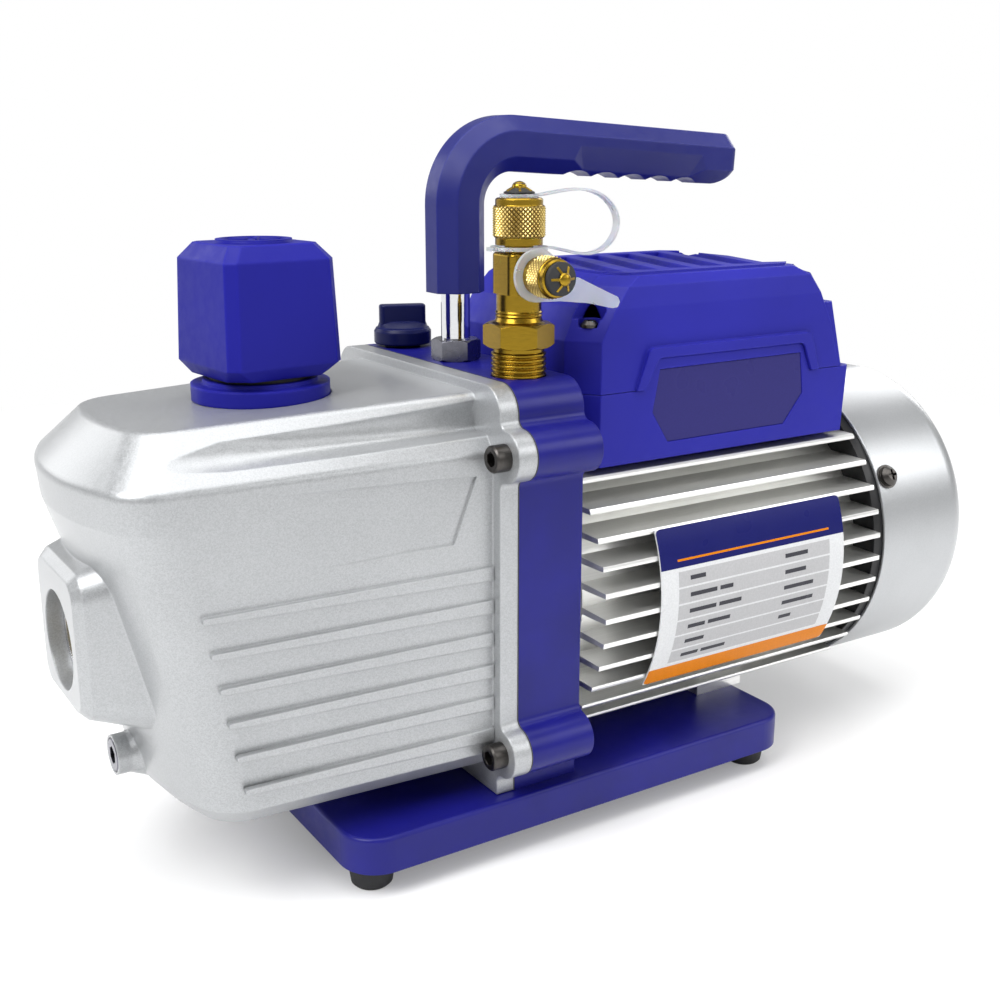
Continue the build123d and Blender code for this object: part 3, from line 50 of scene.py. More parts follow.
# Colours, linear red, green and blue.
ULTRAMARINE = (0.014, 0.014, 0.285)
HANDLE_BLUE = (0.009, 0.012, 0.135)
KNOB_BLUE = (0.003, 0.005, 0.050)
CAP_BLUE = (0.009, 0.009, 0.215)
CAST_BLUE = (0.008, 0.008, 0.165)
NAVY = (0.010, 0.012, 0.110)
BADGE_NAVY = (0.030, 0.027, 0.150)
SILVER = (0.40, 0.41, 0.42)
ALUMINIUM = (0.82, 0.82, 0.80)
CHROME = (0.80, 0.81, 0.83)
ZINC = (0.19, 0.19, 0.22)
BLACK_OXIDE = (0.075, 0.070, 0.066)
BRASS = (0.31, 0.195, 0.020)
# Painted shade in the knurl's valleys, then the two brass tones of its tips.
KNURL_VALLEY_SHADE = (0.16, 0.10, 0.02)
KNURL_TIP_DARK, KNURL_TIP_LIGHT = (0.64, 0.48, 0.16), (0.74, 0.57, 0.22)
IRON = (0.27, 0.27, 0.27)
STEEL = (0.55, 0.55, 0.56)
SHEET_STEEL = (0.32, 0.32, 0.34)
COPPER = (0.72, 0.34, 0.16)
BLACK_PAINT = (0.015, 0.015, 0.016)
BLACK_RUBBER = (0.012, 0.012, 0.013)
BLACK_PLASTIC = (0.018, 0.018, 0.019)
GASKET_GREY = (0.03, 0.03, 0.032)
RED_PLASTIC = (0.62, 0.025, 0.015)
FIBRE = (0.16, 0.11, 0.06)
FELT = (0.50, 0.48, 0.40)
# The second nylon colour is a painted highlight for its edges.
NYLON, NYLON_EDGE_HIGHLIGHT = (0.88, 0.90, 0.93), (0.98, 0.98, 0.99)
CLEAR_GLASS, OIL = (0.80, 0.84, 0.83), (0.62, 0.47, 0.16)
LABEL_WHITE = (0.66, 0.67, 0.68)
LABEL_GREY = (0.45, 0.45, 0.46)
ORANGE = (0.66, 0.20, 0.004)
INK = (0.05, 0.05, 0.06)
FLOOR_DARK, FLOOR_LIGHT = (0.88, 0.88, 0.88), (0.90, 0.90, 0.90)
WHITE = (1.0, 1.0, 1.0)

# Directions, and the height of the shaft's axis above the floor.
UP, FORWARD = (0, 0, 1), (0, -1, 0)
AXIS_HEIGHT = 0.0915

# Texture: the range that most of a noise lies in, how machining lines stretch along X, Y and Z, how far a
# normal rounded over an edge agrees with the face where the edge begins and where it is full, and the
# distance between the bands of the wave texture at a scale of 1.
NOISE_LOW, NOISE_HIGH = 0.3, 0.7
TURNED = (300, 300, 2600)
ALONG_X = (12, 2400, 2400)
EDGE_BEGINS, EDGE_FULL = 0.985, 0.90
WAVE_PERIOD = 0.314
OIL_OVER_MIDDLE, OIL_BLUR = 2.5 * MM, 0.3 * MM

# Knurled bands: from KNURL_START above a cap's foot to KNURL_END below its top, just clear of its side, with
# KNURL_STEPS points to a tooth.
KNURL_START, KNURL_END, KNURL_CLEAR = 2.6 * MM, 2.7 * MM, 0.01 * MM
KNURL_STEPS = 6
TOP_KNURL_DEPTH, TOP_KNURL_TEETH = 0.60 * MM, 34
SIDE_KNURL_DEPTH, SIDE_KNURL_TEETH = 0.55 * MM, 28

# Star nibs on the caps' rubber cones. An arm is ARM_FLARE times wider at its foot, and the first is NIB_TURN
# degrees round.
NIB_SEGMENTS, NIB_ARMS, NIB_TURN = 48, 6, 15
ARM_HALF_WIDTH, ARM_THICKNESS, ARM_FLARE = 0.42 * MM, 0.9 * MM, 1.2
DOME_STEPS, DOME_FOOT, DOME_CROWN = 8, 0.3 * MM, 0.1 * MM
CONE_HEIGHT = 3.6 * MM

# Nameplate, which curves round the shaft's axis. Heights on it are degrees above the -Y direction.
PLATE_CORNER = 2.2 * MM
PLATE_STEP = 0.5
HEADER_FOOT = 10.6
FOOTER_TOP = -24.6
RULE_TOP, RULE_FOOT = HEADER_FOOT + 2.7, HEADER_FOOT + 2.0
ROW_TOP, ROW_PITCH, ROW_SHARE = 9.3, 5.5, 0.89
MARK_HALF_HEIGHT = 0.7
TEXT_INSET = 8.6 * MM
NAME_COLUMN, VALUE_COLUMN = 14.5 * MM, 66 * MM
INK_LIFT, OVERPRINT_LIFT = 0.03 * MM, 0.05 * MM
# Each row's bars and the gap between them, in millimetres: the bars of its name, then those of its value.
ROW_WORDS = [
    ((8,), (13,)), ((14, 7), (12,)), ((14, 12), (17,)),
    ((9, 12), (18,)), ((10,), (7,)), ((9, 13), ()),
]
WORD_GAP = 1.6

# Studio: camera angles are degrees, to the right of +Y and down from level.
CAMERA_PLACE = (-0.2943, -0.4359, 0.2638)
CAMERA_AZIMUTH, CAMERA_DOWN = 32.46, 15.38
CAMERA_LENS, CAMERA_SENSOR = 46.0, 36.0
FLOOR_RADIUS = 12.0
WORLD_GLOW, WORLD_SEEN = 0.36, 1.0


def box_middle(node):
    low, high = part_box(node)
    return (low + high) / 2


# ---------------------------------------------------------------- node helpers


def scaled(colour, factor):
    return tuple(min(1.0, c * factor) for c in colour)


class Shader:
    """One material's node tree, with short calls for the nodes that the finishes below share."""

    def __init__(self, name):
        self.material = bpy.data.materials.new(name)
        self.material.use_nodes = True
        self.tree = self.material.node_tree
        self.tree.nodes.clear()
        self.surface = self.node("BsdfPrincipled")
        self.output = self.node("OutputMaterial")
        self.feed(self.surface.outputs[0], self.output.inputs[0])
        self.place = self.node("TexCoord").outputs["Object"]

    def node(self, kind, operation=None):
        made = self.tree.nodes.new("ShaderNode" + kind)
        if operation:
            made.operation = operation
        return made

    def feed(self, value, socket):
        """Join another node's output to a socket, or set a constant on it."""
        if isinstance(value, bpy.types.NodeSocket):
            self.tree.links.new(value, socket)
        elif socket.type == "RGBA":
            socket.default_value = (*value, 1.0)
        else:
            socket.default_value = value

    def set(self, **values):
        """Constants on the surface's own sockets, spelled with _ for a space."""
        for name, value in values.items():
            self.feed(value, self.surface.inputs[name.replace("_", " ")])

    def stretched(self, scale):
        node = self.node("Mapping")
        self.feed(scale, node.inputs["Scale"])
        self.feed(self.place, node.inputs["Vector"])
        return node.outputs[0]

    def noise(self, scale, detail, rough=0.5, place=None):
        node = self.node("TexNoise")
        self.feed(scale, node.inputs["Scale"])
        self.feed(detail, node.inputs["Detail"])
        self.feed(rough, node.inputs["Roughness"])
        self.feed(place or self.place, node.inputs["Vector"])
        return node.outputs["Fac"]

    def cells(self, scale):
        """A random value for each small cell, as the flakes in a sparkle paint have."""
        node = self.node("TexVoronoi")
        self.feed(scale, node.inputs["Scale"])
        self.feed(self.place, node.inputs["Vector"])
        split = self.node("SeparateColor")
        self.feed(node.outputs["Color"], split.inputs[0])
        return split.outputs[0]

    def numbers(self, operation, first, second):
        """A sum, product or the like of two values."""
        node = self.node("Math", operation)
        self.feed(first, node.inputs[0])
        self.feed(second, node.inputs[1])
        return node.outputs[0]

    def vectors(self, operation, first, second):
        """The same of two vectors."""
        node = self.node("VectorMath", operation)
        self.feed(first, node.inputs[0])
        self.feed(second, node.inputs[1])
        return node.outputs["Value" if operation == "DOT_PRODUCT" else "Vector"]

    def length(self, vector):
        node = self.node("VectorMath", "LENGTH")
        self.feed(vector, node.inputs[0])
        return node.outputs["Value"]

    def span(self, source, low, high, to_low, to_high):
        """Source mapped from low..high to to_low..to_high, and held at those past its ends."""
        node = self.node("MapRange")
        limits = {"From Min": low, "From Max": high, "To Min": to_low, "To Max": to_high}
        for socket, value in limits.items():
            self.feed(value, node.inputs[socket])
        self.feed(source, node.inputs["Value"])
        return node.outputs[0]

    def vary(self, noise, to_low, to_high):
        return self.span(noise, NOISE_LOW, NOISE_HIGH, to_low, to_high)

    def blend(self, amount, first, second):
        node = self.node("Mix")
        node.data_type = "RGBA"
        self.feed(amount, node.inputs[0])
        self.feed(first, node.inputs[6])
        self.feed(second, node.inputs[7])
        return node.outputs[2]

    def tint(self, source, colour, dark, light, low=NOISE_LOW, high=NOISE_HIGH):
        """A colour from dark to light times itself, as source goes from low to high."""
        return self.blend(self.span(source, low, high, 0, 1), scaled(colour, dark), scaled(colour, light))

    def soft_edge(self, radius):
        """A normal rounded over the edges, and a mask that is 1 on them."""
        node = self.node("Bevel")
        node.samples = 4
        self.feed(radius, node.inputs["Radius"])
        flat = self.node("NewGeometry").outputs["Normal"]
        agreement = self.vectors("DOT_PRODUCT", node.outputs[0], flat)
        return node.outputs[0], self.span(agreement, EDGE_BEGINS, EDGE_FULL, 0.0, 1.0)

    def edge_wear_and_highlight(self, edge_band, most, base, wear_and_highlight_colour):
        """The base colour, with up to most of another over the edges: a paler edge that is partly wear and
        partly a painted highlight.
        """
        return self.blend(self.span(edge_band, 0, 1, 0, most), base, wear_and_highlight_colour)

    def bump(self, height, depth, normal=None):
        node = self.node("Bump")
        self.feed(1.0, node.inputs["Strength"])
        self.feed(depth, node.inputs["Distance"])
        self.feed(height, node.inputs["Height"])
        if normal is not None:
            self.feed(normal, node.inputs["Normal"])
        return node.outputs[0]

    def finish(self, colour, roughness, normal):
        self.feed(colour, self.surface.inputs["Base Color"])
        self.feed(roughness, self.surface.inputs["Roughness"])
        self.feed(normal, self.surface.inputs["Normal"])
        return self.material


# ---------------------------------------------------------------- finishes


def paint(name, colour, rough, peel):
    """Gloss paint over a casting: orange peel, faint mottling and slightly paler edges, partly wear and
    partly a painted highlight.
    """
    s = Shader(name)
    rounded, edge_band = s.soft_edge(0.5 * MM)
    base = s.tint(s.noise(35, 4), colour, 0.88, 1.12, low=0.35, high=0.65)
    shade = s.edge_wear_and_highlight(edge_band, 0.55, base, scaled(colour, 1.7))
    s.set(Coat_Weight=0.08, Coat_Roughness=0.22, Specular_IOR_Level=0.22)
    gloss = s.vary(s.noise(180, 3), rough - 0.03, rough + 0.05)
    return s.finish(shade, gloss, s.bump(s.noise(500, 2), peel, rounded))


def sparkle_paint(name, colour, cast_depth, metallic=0.60, rough=0.36, glint=0.26):
    """Silver paint: bright flakes in a clear coat, over the fine orange peel of the casting or sheet."""
    s = Shader(name)
    rounded, edge_band = s.soft_edge(1.1 * MM)
    flakes = s.cells(2600)
    base = s.tint(s.noise(22, 3), colour, 0.94, 1.05, low=0.35, high=0.65)
    glitter = s.tint(flakes, colour, 1 - 0.8 * glint, 1 + 1.2 * glint, low=0.0, high=1.0)
    # The paler edges are partly wear and partly a painted highlight.
    shade = s.edge_wear_and_highlight(edge_band, 0.5, s.blend(0.45, base, glitter), scaled(colour, 1.35))
    s.set(Metallic=metallic, Coat_Weight=0.25, Coat_Roughness=0.22)
    gloss = s.span(flakes, 0, 1, rough - 0.25 * glint, rough + 0.4 * glint)
    peel = s.bump(s.noise(420, 3), cast_depth, rounded)
    return s.finish(shade, gloss, s.bump(flakes, cast_depth * glint, peel))


def moulded(name, colour, rough=0.42, grain=0.03 * MM, edge=0.5 * MM, wear_and_highlight_gain=1.9, shine=0.35):
    """Injection-moulded plastic: an even fine grain, soft flow clouds and paler edges, partly wear and partly
    a painted highlight.
    """
    s = Shader(name)
    rounded, edge_band = s.soft_edge(edge)
    base = s.tint(s.noise(14, 3), colour, 0.90, 1.12)
    shade = s.edge_wear_and_highlight(edge_band, 0.5, base, scaled(colour, wear_and_highlight_gain))
    s.set(Specular_IOR_Level=shine)
    gloss = s.vary(s.noise(240, 2), rough - 0.06, rough + 0.06)
    return s.finish(shade, gloss, s.bump(s.noise(1500, 2, 0.6), grain, rounded))


def metal(name, colour, rough, stretch, depth, spread=0.10, purity=1.0):
    """Machined or drawn metal: fine lines along the way it was cut, drawn or turned."""
    s = Shader(name)
    rounded, edge_band = s.soft_edge(0.3 * MM)
    lines = s.noise(1.0, 4, 0.6, s.stretched(stretch))
    base = s.tint(lines, colour, 1 - spread, 1 + spread)
    # The paler edges are partly wear and partly a painted highlight.
    shade = s.edge_wear_and_highlight(edge_band, 0.6, base, scaled(colour, 1.25))
    s.set(Metallic=purity)
    gloss = s.vary(s.noise(60, 3), rough - 0.03, rough + 0.05)
    return s.finish(shade, gloss, s.bump(lines, depth, rounded))


def knurled_brass(name, origin, axis, radius, depth):
    """Brass with painted shade that darkens it with depth below the tips of a knurl about the line along axis
    through origin.
    """
    s = Shader(name)
    centred = s.vectors("SUBTRACT", s.place, origin)
    reach = s.length(s.vectors("MULTIPLY", centred, tuple(1.0 - abs(a) for a in axis)))
    tip = s.span(reach, radius + 0.1 * depth, radius + 0.6 * depth, 0, 1)
    grain = s.noise(900, 3)
    light = s.blend(s.vary(grain, 0, 1), KNURL_TIP_DARK, KNURL_TIP_LIGHT)
    shade = s.blend(tip, KNURL_VALLEY_SHADE, light)
    s.set(Metallic=1.0)
    return s.finish(shade, s.span(tip, 0, 1, 0.50, 0.26), s.bump(grain, 0.01 * MM))


def rubber(name, colour):
    """Rubber or gasket sheet, with a little dust on it."""
    s = Shader(name)
    rounded, _ = s.soft_edge(0.5 * MM)
    dust = s.noise(90, 4)
    shade = s.blend(s.span(dust, 0.45, 0.75, 0, 0.5), colour, scaled(colour, 2.2))
    gloss = s.vary(dust, 0.55, 0.75)
    return s.finish(shade, gloss, s.bump(s.noise(900, 2), 0.04 * MM, rounded))


def clear_nylon(name, colour):
    """A thin translucent moulding."""
    s = Shader(name)
    rounded, edge_band = s.soft_edge(0.3 * MM)
    cloud = s.noise(120, 3)
    # The whiter colour over the edges is a painted highlight.
    shade = s.blend(edge_band, s.tint(cloud, colour, 0.94, 1.0), NYLON_EDGE_HIGHLIGHT)
    s.set(Subsurface_Weight=0.20, Subsurface_Scale=0.004, Transmission_Weight=0.70, IOR=1.35)
    gloss = s.vary(cloud, 0.26, 0.38)
    return s.finish(shade, gloss, s.bump(s.noise(300, 2), 0.03 * MM, rounded))


def oil_glass(name):
    """The sight glass: clear, with oil up to a little above its middle."""
    s = Shader(name)
    rounded, _ = s.soft_edge(0.3 * MM)
    split = s.node("SeparateXYZ")
    s.feed(s.place, split.inputs[0])
    ripple = s.vary(s.noise(40, 1), -OIL_BLUR, OIL_BLUR)
    height = s.numbers("ADD", split.outputs["Z"], ripple)
    oil_level = box_middle("sight_glass").z + OIL_OVER_MIDDLE
    filled = s.span(height, oil_level - OIL_BLUR, oil_level + OIL_BLUR, 1, 0)
    shade = s.blend(filled, CLEAR_GLASS, OIL)
    s.set(Transmission_Weight=0.75, IOR=1.5)
    gloss = s.vary(s.noise(70, 2), 0.03, 0.09)
    return s.finish(shade, gloss, s.bump(s.noise(200, 1), 0.01 * MM, rounded))


def printed(name, colour, rough=0.32):
    """Ink or film on a label: nearly flat, with the faint unevenness of print."""
    s = Shader(name)
    shade = s.tint(s.noise(1300, 2), colour, 0.94, 1.05)
    s.set(Specular_IOR_Level=0.10)
    gloss = s.vary(s.noise(60, 2), rough - 0.06, rough + 0.06)
    return s.finish(shade, gloss, s.bump(s.noise(160, 2), 0.008 * MM))


def woven(name, colour):
    """Felt of short strands, each a little lighter or darker."""
    s = Shader(name)
    strands = s.cells(900)
    shade = s.blend(strands, scaled(colour, 0.7), scaled(colour, 1.15))
    gloss = s.span(strands, 0, 1, 0.75, 0.92)
    return s.finish(shade, gloss, s.bump(strands, 0.3 * MM))


def laminated(name, colour, pitch=0.6 * MM):
    """Stacked sheet steel, seen edge on along X."""
    s = Shader(name)
    wave = s.node("TexWave")
    wave.bands_direction = "X"
    s.feed(WAVE_PERIOD / pitch, wave.inputs["Scale"])
    s.feed(0.2, wave.inputs["Distortion"])
    s.feed(s.place, wave.inputs["Vector"])
    bands = wave.outputs["Fac"]
    shade = s.blend(bands, scaled(colour, 0.6), scaled(colour, 1.1))
    s.set(Metallic=0.9)
    gloss = s.vary(s.noise(80, 2), 0.35, 0.55)
    return s.finish(shade, gloss, s.bump(bands, 0.1 * MM))


def wire_wound(name, colour):
    """Enamelled wire laid side by side along X."""
    s = Shader(name)
    strands = s.noise(1.0, 2, 0.5, s.stretched((150, 1600, 1600)))
    shade = s.tint(strands, colour, 0.55, 1.2)
    s.set(Metallic=0.85)
    gloss = s.vary(strands, 0.25, 0.45)
    return s.finish(shade, gloss, s.bump(strands, 0.3 * MM))


FINISHES = {
    "blue_cast": paint("cast_blue_paint", CAST_BLUE, rough=0.33, peel=0.010 * MM),
    "black_cast": paint("black_paint", BLACK_PAINT, rough=0.38, peel=0.012 * MM),
    "silver_paint": sparkle_paint("silver_casting", SILVER, cast_depth=0.02 * MM),
    "silver_sheet": sparkle_paint("silver_sheet", scaled(SILVER, 1.1), cast_depth=0.004 * MM,
                                  metallic=0.7, rough=0.34, glint=0.10),
    "blue_plastic": moulded("blue_plastic", ULTRAMARINE, rough=0.46, grain=0.008 * MM,
                            edge=1.0 * MM, wear_and_highlight_gain=1.6, shine=0.20),
    "black_plastic": moulded("black_plastic", BLACK_PLASTIC, rough=0.45, wear_and_highlight_gain=3.0),
    "rocker": moulded("red_plastic", RED_PLASTIC, rough=0.22, grain=0.01 * MM),
    "vane": moulded("fibre_composite", FIBRE, rough=0.5),
    "white_nylon": clear_nylon("clear_nylon", NYLON),
    "glass": oil_glass("oil_sight_glass"),
    "rubber_black": rubber("black_rubber", BLACK_RUBBER),
    "gasket": rubber("gasket_sheet", GASKET_GREY),
    "felt": woven("filter_felt", FELT),
    "bare_aluminium": metal("drawn_aluminium", ALUMINIUM, rough=0.32, stretch=ALONG_X, depth=0.003 * MM,
                            spread=0.05, purity=0.82),
    "chrome_post": metal("polished_chrome", CHROME, rough=0.07, stretch=TURNED, depth=0.002 * MM,
                         spread=0.02),
    "brass": metal("turned_brass", BRASS, rough=0.25, stretch=TURNED, depth=0.003 * MM),
    "steel": metal("ground_steel", STEEL, rough=0.22, stretch=TURNED, depth=0.01 * MM),
    "iron": metal("machined_iron", IRON, rough=0.45, stretch=(400, 400, 400), depth=0.05 * MM),
    "zinc_steel": metal("zinc_plate", ZINC, rough=0.25, stretch=(500, 500, 500), depth=0.02 * MM),
    "screw_dark": metal("black_oxide", BLACK_OXIDE, rough=0.34, stretch=(900, 900, 900), depth=0.02 * MM),
    "lamination": laminated("lamination_stack", SHEET_STEEL),
    "copper": wire_wound("enamelled_wire", COPPER),
    "label": printed("label_film", LABEL_WHITE),
    "badge": printed("badge_film", BADGE_NAVY, rough=0.30),
}
CAP_PLASTIC = moulded("cap_plastic", CAP_BLUE, rough=0.46, grain=0.010 * MM,
                      edge=1.6 * MM, wear_and_highlight_gain=2.0, shine=0.15)
OWN_PLASTICS = {
    "handle_grip": moulded("handle_plastic", HANDLE_BLUE, rough=0.36, grain=0.006 * MM,
                           edge=1.2 * MM, wear_and_highlight_gain=2.2, shine=0.30),
    "gas_ballast_knob": moulded("knob_plastic", KNOB_BLUE, rough=0.34, grain=0.006 * MM,
                                edge=0.8 * MM, wear_and_highlight_gain=2.6, shine=0.18),
    "exhaust_cap": CAP_PLASTIC,
    "exhaust_port": CAP_PLASTIC,
}


def give(obj, material):
    obj.data.materials.clear()
    obj.data.materials.append(material)


def dress_cad_nodes():
    """Each CAD node gets its slot's finish, or its own shade of plastic where it has one."""
    for part in frame["record"]["subparts"]:
        node = part["node"]
        give(CAD[node], OWN_PLASTICS.get(node, FINISHES[part["material_slot"]]))


# ---------------------------------------------------------------- mesh helpers


def mesh_piece(name, points, faces, material, body, smooth):
    """A new piece of the model, made from points and faces, that rides on a CAD body."""
    mesh = bpy.data.meshes.new(name)
    mesh.from_pydata([tuple(p) for p in points], [], faces)
    build = bmesh.new()
    build.from_mesh(mesh)
    bmesh.ops.remove_doubles(build, verts=build.verts, dist=1e-7)
    bmesh.ops.recalc_face_normals(build, faces=build.faces)
    build.to_mesh(mesh)
    build.free()
    mesh.update()
    for face in mesh.polygons:
        face.use_smooth = smooth
    obj = bpy.data.objects.new(name, mesh)
    bpy.context.scene.collection.objects.link(obj)
    give(obj, material)
    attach(obj, body)


def directions_about(axis):
    """The unit vector along axis, and two across it at right angles."""
    axis = Vector(axis).normalized()
    side = axis.orthogonal().normalized()
    return axis, side, axis.cross(side)


def tube_faces(rows, around):
    """The faces of rows rows between rings of around points each."""
    faces = []
    for j in range(rows):
        for i in range(around):
            a = j * around + i
            b = j * around + (i + 1) % around
            faces.append((a, b, b + around, a + around))
    return faces


# ---------------------------------------------------------------- knurled bands


def knurl_height(turn, along):
    """Pyramids between two crossing sets of grooves: turn and along count grooves."""
    first = abs((turn + along) % 1.0 - 0.5) * 2
    second = abs((turn - along) % 1.0 - 0.5) * 2
    return 1.0 - max(first, second)


def knurled_band(name, origin, axis, low, high, radius, depth, teeth, body):
    """A diamond-knurled sleeve around axis, from low to high along it, its valleys at radius."""
    material = knurled_brass(name + "_brass", origin, axis, radius, depth)
    axis, side, other = directions_about(axis)
    around = teeth * KNURL_STEPS
    pitch = 2 * math.pi * radius / teeth
    rows = round((high - low) / pitch * KNURL_STEPS)
    points = []
    for j in range(rows + 1):
        along = low + (high - low) * j / rows
        fade = min(1.0, j / 2, (rows - j) / 2)
        for i in range(around):
            angle = 2 * math.pi * i / around
            rise = knurl_height(i / KNURL_STEPS, (along - low) / pitch) * depth * fade
            out = side * math.cos(angle) + other * math.sin(angle)
            points.append(Vector(origin) + axis * along + out * (radius + rise))
    mesh_piece(name, points, tube_faces(rows, around), material, body, smooth=False)


def knurl_the_caps():
    low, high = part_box("top_flare_cap")
    centre = box_middle("top_flare_cap")
    knurled_band("top_cap_knurl", (centre.x, centre.y, low.z), UP,
                 low=KNURL_START, high=high.z - low.z - KNURL_END, radius=(high.x - low.x) / 2 + KNURL_CLEAR,
                 depth=TOP_KNURL_DEPTH, teeth=TOP_KNURL_TEETH, body="top_cap")
    low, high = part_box("side_flare_cap")
    centre = box_middle("side_flare_cap")
    knurled_band("side_cap_knurl", (centre.x, high.y, centre.z), FORWARD,
                 low=KNURL_START, high=high.y - low.y - KNURL_END, radius=(high.x - low.x) / 2 + KNURL_CLEAR,
                 depth=SIDE_KNURL_DEPTH, teeth=SIDE_KNURL_TEETH, body="side_cap")


# ---------------------------------------------------------------- brass nibs of the cap cores


def dome_profile(radius, height, base):
    """Points of a quarter ellipse standing on a short straight foot."""
    points = [(radius, base), (radius, base + DOME_FOOT)]
    for k in range(1, DOME_STEPS):
        turn = math.radians(90 * k / DOME_STEPS)
        points.append((radius * math.cos(turn), base + DOME_FOOT + height * math.sin(turn)))
    return points


def star_nib(name, origin, axis, dome, arm, body):
    """A brass valve-core nib: a dome of (radius, height) points, with short arms down the rubber cone. arm is
    the inner and outer (radius, height) of an arm's top edge, with heights from origin along axis."""
    axis, side, other = directions_about(axis)
    origin = Vector(origin)
    points = []
    for radius, height in dome:
        for i in range(NIB_SEGMENTS):
            angle = 2 * math.pi * i / NIB_SEGMENTS
            out = side * math.cos(angle) + other * math.sin(angle)
            points.append(origin + out * radius + axis * height)
    faces = tube_faces(len(dome) - 1, NIB_SEGMENTS)
    crown = len(points) - NIB_SEGMENTS
    summit = len(points)
    points.append(origin + axis * (dome[-1][1] + DOME_CROWN))
    for i in range(NIB_SEGMENTS):
        faces.append((crown + i, crown + (i + 1) % NIB_SEGMENTS, summit))
    half, foot = ARM_HALF_WIDTH, ARM_HALF_WIDTH * ARM_FLARE
    for n in range(NIB_ARMS):
        angle = math.radians(360 / NIB_ARMS * n + NIB_TURN)
        along = side * math.cos(angle) + other * math.sin(angle)
        across = axis.cross(along)
        a = len(points)
        for radius, height in arm:
            for way, drop in ((-half, 0.0), (half, 0.0), (foot, ARM_THICKNESS), (-foot, ARM_THICKNESS)):
                points.append(origin + along * radius + across * way + axis * (height - drop))
        faces += [(a, a + 1, a + 5, a + 4), (a + 1, a + 2, a + 6, a + 5), (a + 3, a, a + 4, a + 7)]
        faces += [(a, a + 3, a + 2, a + 1), (a + 4, a + 5, a + 6, a + 7), (a + 2, a + 3, a + 7, a + 6)]
    mesh_piece(name, points, faces, FINISHES["brass"], body, smooth=False)


def fit_the_nibs():
    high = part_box("top_cap_button")[1]
    centre = box_middle("top_cap_button")
    star_nib("top_cap_nib", (centre.x, centre.y, high.z - CONE_HEIGHT), UP,
             dome_profile(radius=2.7 * MM, height=2.1 * MM, base=1.4 * MM),
             ((2.4 * MM, 2.0 * MM), (5.0 * MM, 0.65 * MM)), "top_cap")
    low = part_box("side_cap_button")[0]
    centre = box_middle("side_cap_button")
    star_nib("side_cap_nib", (centre.x, low.y, centre.z), FORWARD,
             dome_profile(radius=2.35 * MM, height=1.3 * MM, base=-0.3 * MM),
             ((2.0 * MM, 0.35 * MM), (4.9 * MM, -1.15 * MM)), "side_cap")


# ---------------------------------------------------------------- nameplate print

LABEL_LOW, LABEL_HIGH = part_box("nameplate")
LABEL_RADIUS = -LABEL_LOW.y
LABEL_TOP = math.degrees(math.asin((LABEL_HIGH.z - AXIS_HEIGHT) / LABEL_RADIUS))
LABEL_FOOT = math.degrees(math.asin((LABEL_LOW.z - AXIS_HEIGHT) / LABEL_RADIUS))


def corner_inset(distance):
    """How far a rounded corner pulls the side in, at a distance from the end."""
    if distance >= PLATE_CORNER:
        return 0.0
    left = PLATE_CORNER - distance
    return PLATE_CORNER - math.sqrt(max(0.0, PLATE_CORNER ** 2 - left ** 2))


def curved_patch(points, faces, patch, radius):
    """Add one patch (x0, x1, upper, lower, rounded end) on a cylinder about the shaft's axis. The rounded end
    is its upper or lower one, or neither."""
    x0, x1, upper, lower, rounded = patch
    steps = max(2, math.ceil((upper - lower) / PLATE_STEP))
    start = len(points)
    for k in range(steps + 1):
        degrees = upper + (lower - upper) * k / steps
        gap = {"upper": upper - degrees, "lower": degrees - lower}.get(rounded, 90.0)
        inset = corner_inset(math.radians(gap) * radius)
        angle = math.radians(degrees)
        for x in (x0 + inset, x1 - inset):
            points.append((x, -radius * math.cos(angle), AXIS_HEIGHT + radius * math.sin(angle)))
    for k in range(steps):
        a = start + 2 * k
        faces.append((a, a + 1, a + 3, a + 2))


def label_print(name, patches, colour, lift):
    points, faces = [], []
    for patch in patches:
        curved_patch(points, faces, patch, LABEL_RADIUS + lift)
    mesh_piece(name, points, faces, printed(name + "_ink", colour), "frame", smooth=True)


def row_fields(left, right):
    """One plain field for each row."""
    fields = []
    for i in range(len(ROW_WORDS)):
        top = ROW_TOP - ROW_PITCH * i
        fields.append((left, right, top, top - ROW_PITCH * ROW_SHARE, ""))
    return fields


def row_marks():
    """Plain bars where the rows carry their words, one bar to a word."""
    marks = []
    for i, (names, values) in enumerate(ROW_WORDS):
        middle = ROW_TOP - ROW_PITCH * (i + 0.5 * ROW_SHARE)
        for words, x in ((names, LABEL_LOW.x + NAME_COLUMN), (values, LABEL_LOW.x + VALUE_COLUMN)):
            for length in words:
                marks.append((x, x + length * MM, middle + MARK_HALF_HEIGHT, middle - MARK_HALF_HEIGHT, ""))
                x += (length + WORD_GAP) * MM
    return marks


def print_nameplate():
    left, right = LABEL_LOW.x, LABEL_HIGH.x
    inner_left, inner_right = left + TEXT_INSET, right - TEXT_INSET
    label_print("label_header", [(left, right, LABEL_TOP, HEADER_FOOT, "upper")], NAVY, INK_LIFT)
    label_print("label_footer", [(left, right, FOOTER_TOP, LABEL_FOOT, "lower")], ORANGE, INK_LIFT)
    label_print("label_rule", [(inner_left, inner_right, RULE_TOP, RULE_FOOT, "")], ORANGE, OVERPRINT_LIFT)
    label_print("label_rows", row_fields(inner_left, inner_right), LABEL_GREY, INK_LIFT)
    label_print("label_marks", row_marks(), INK, OVERPRINT_LIFT)


# ---------------------------------------------------------------- studio


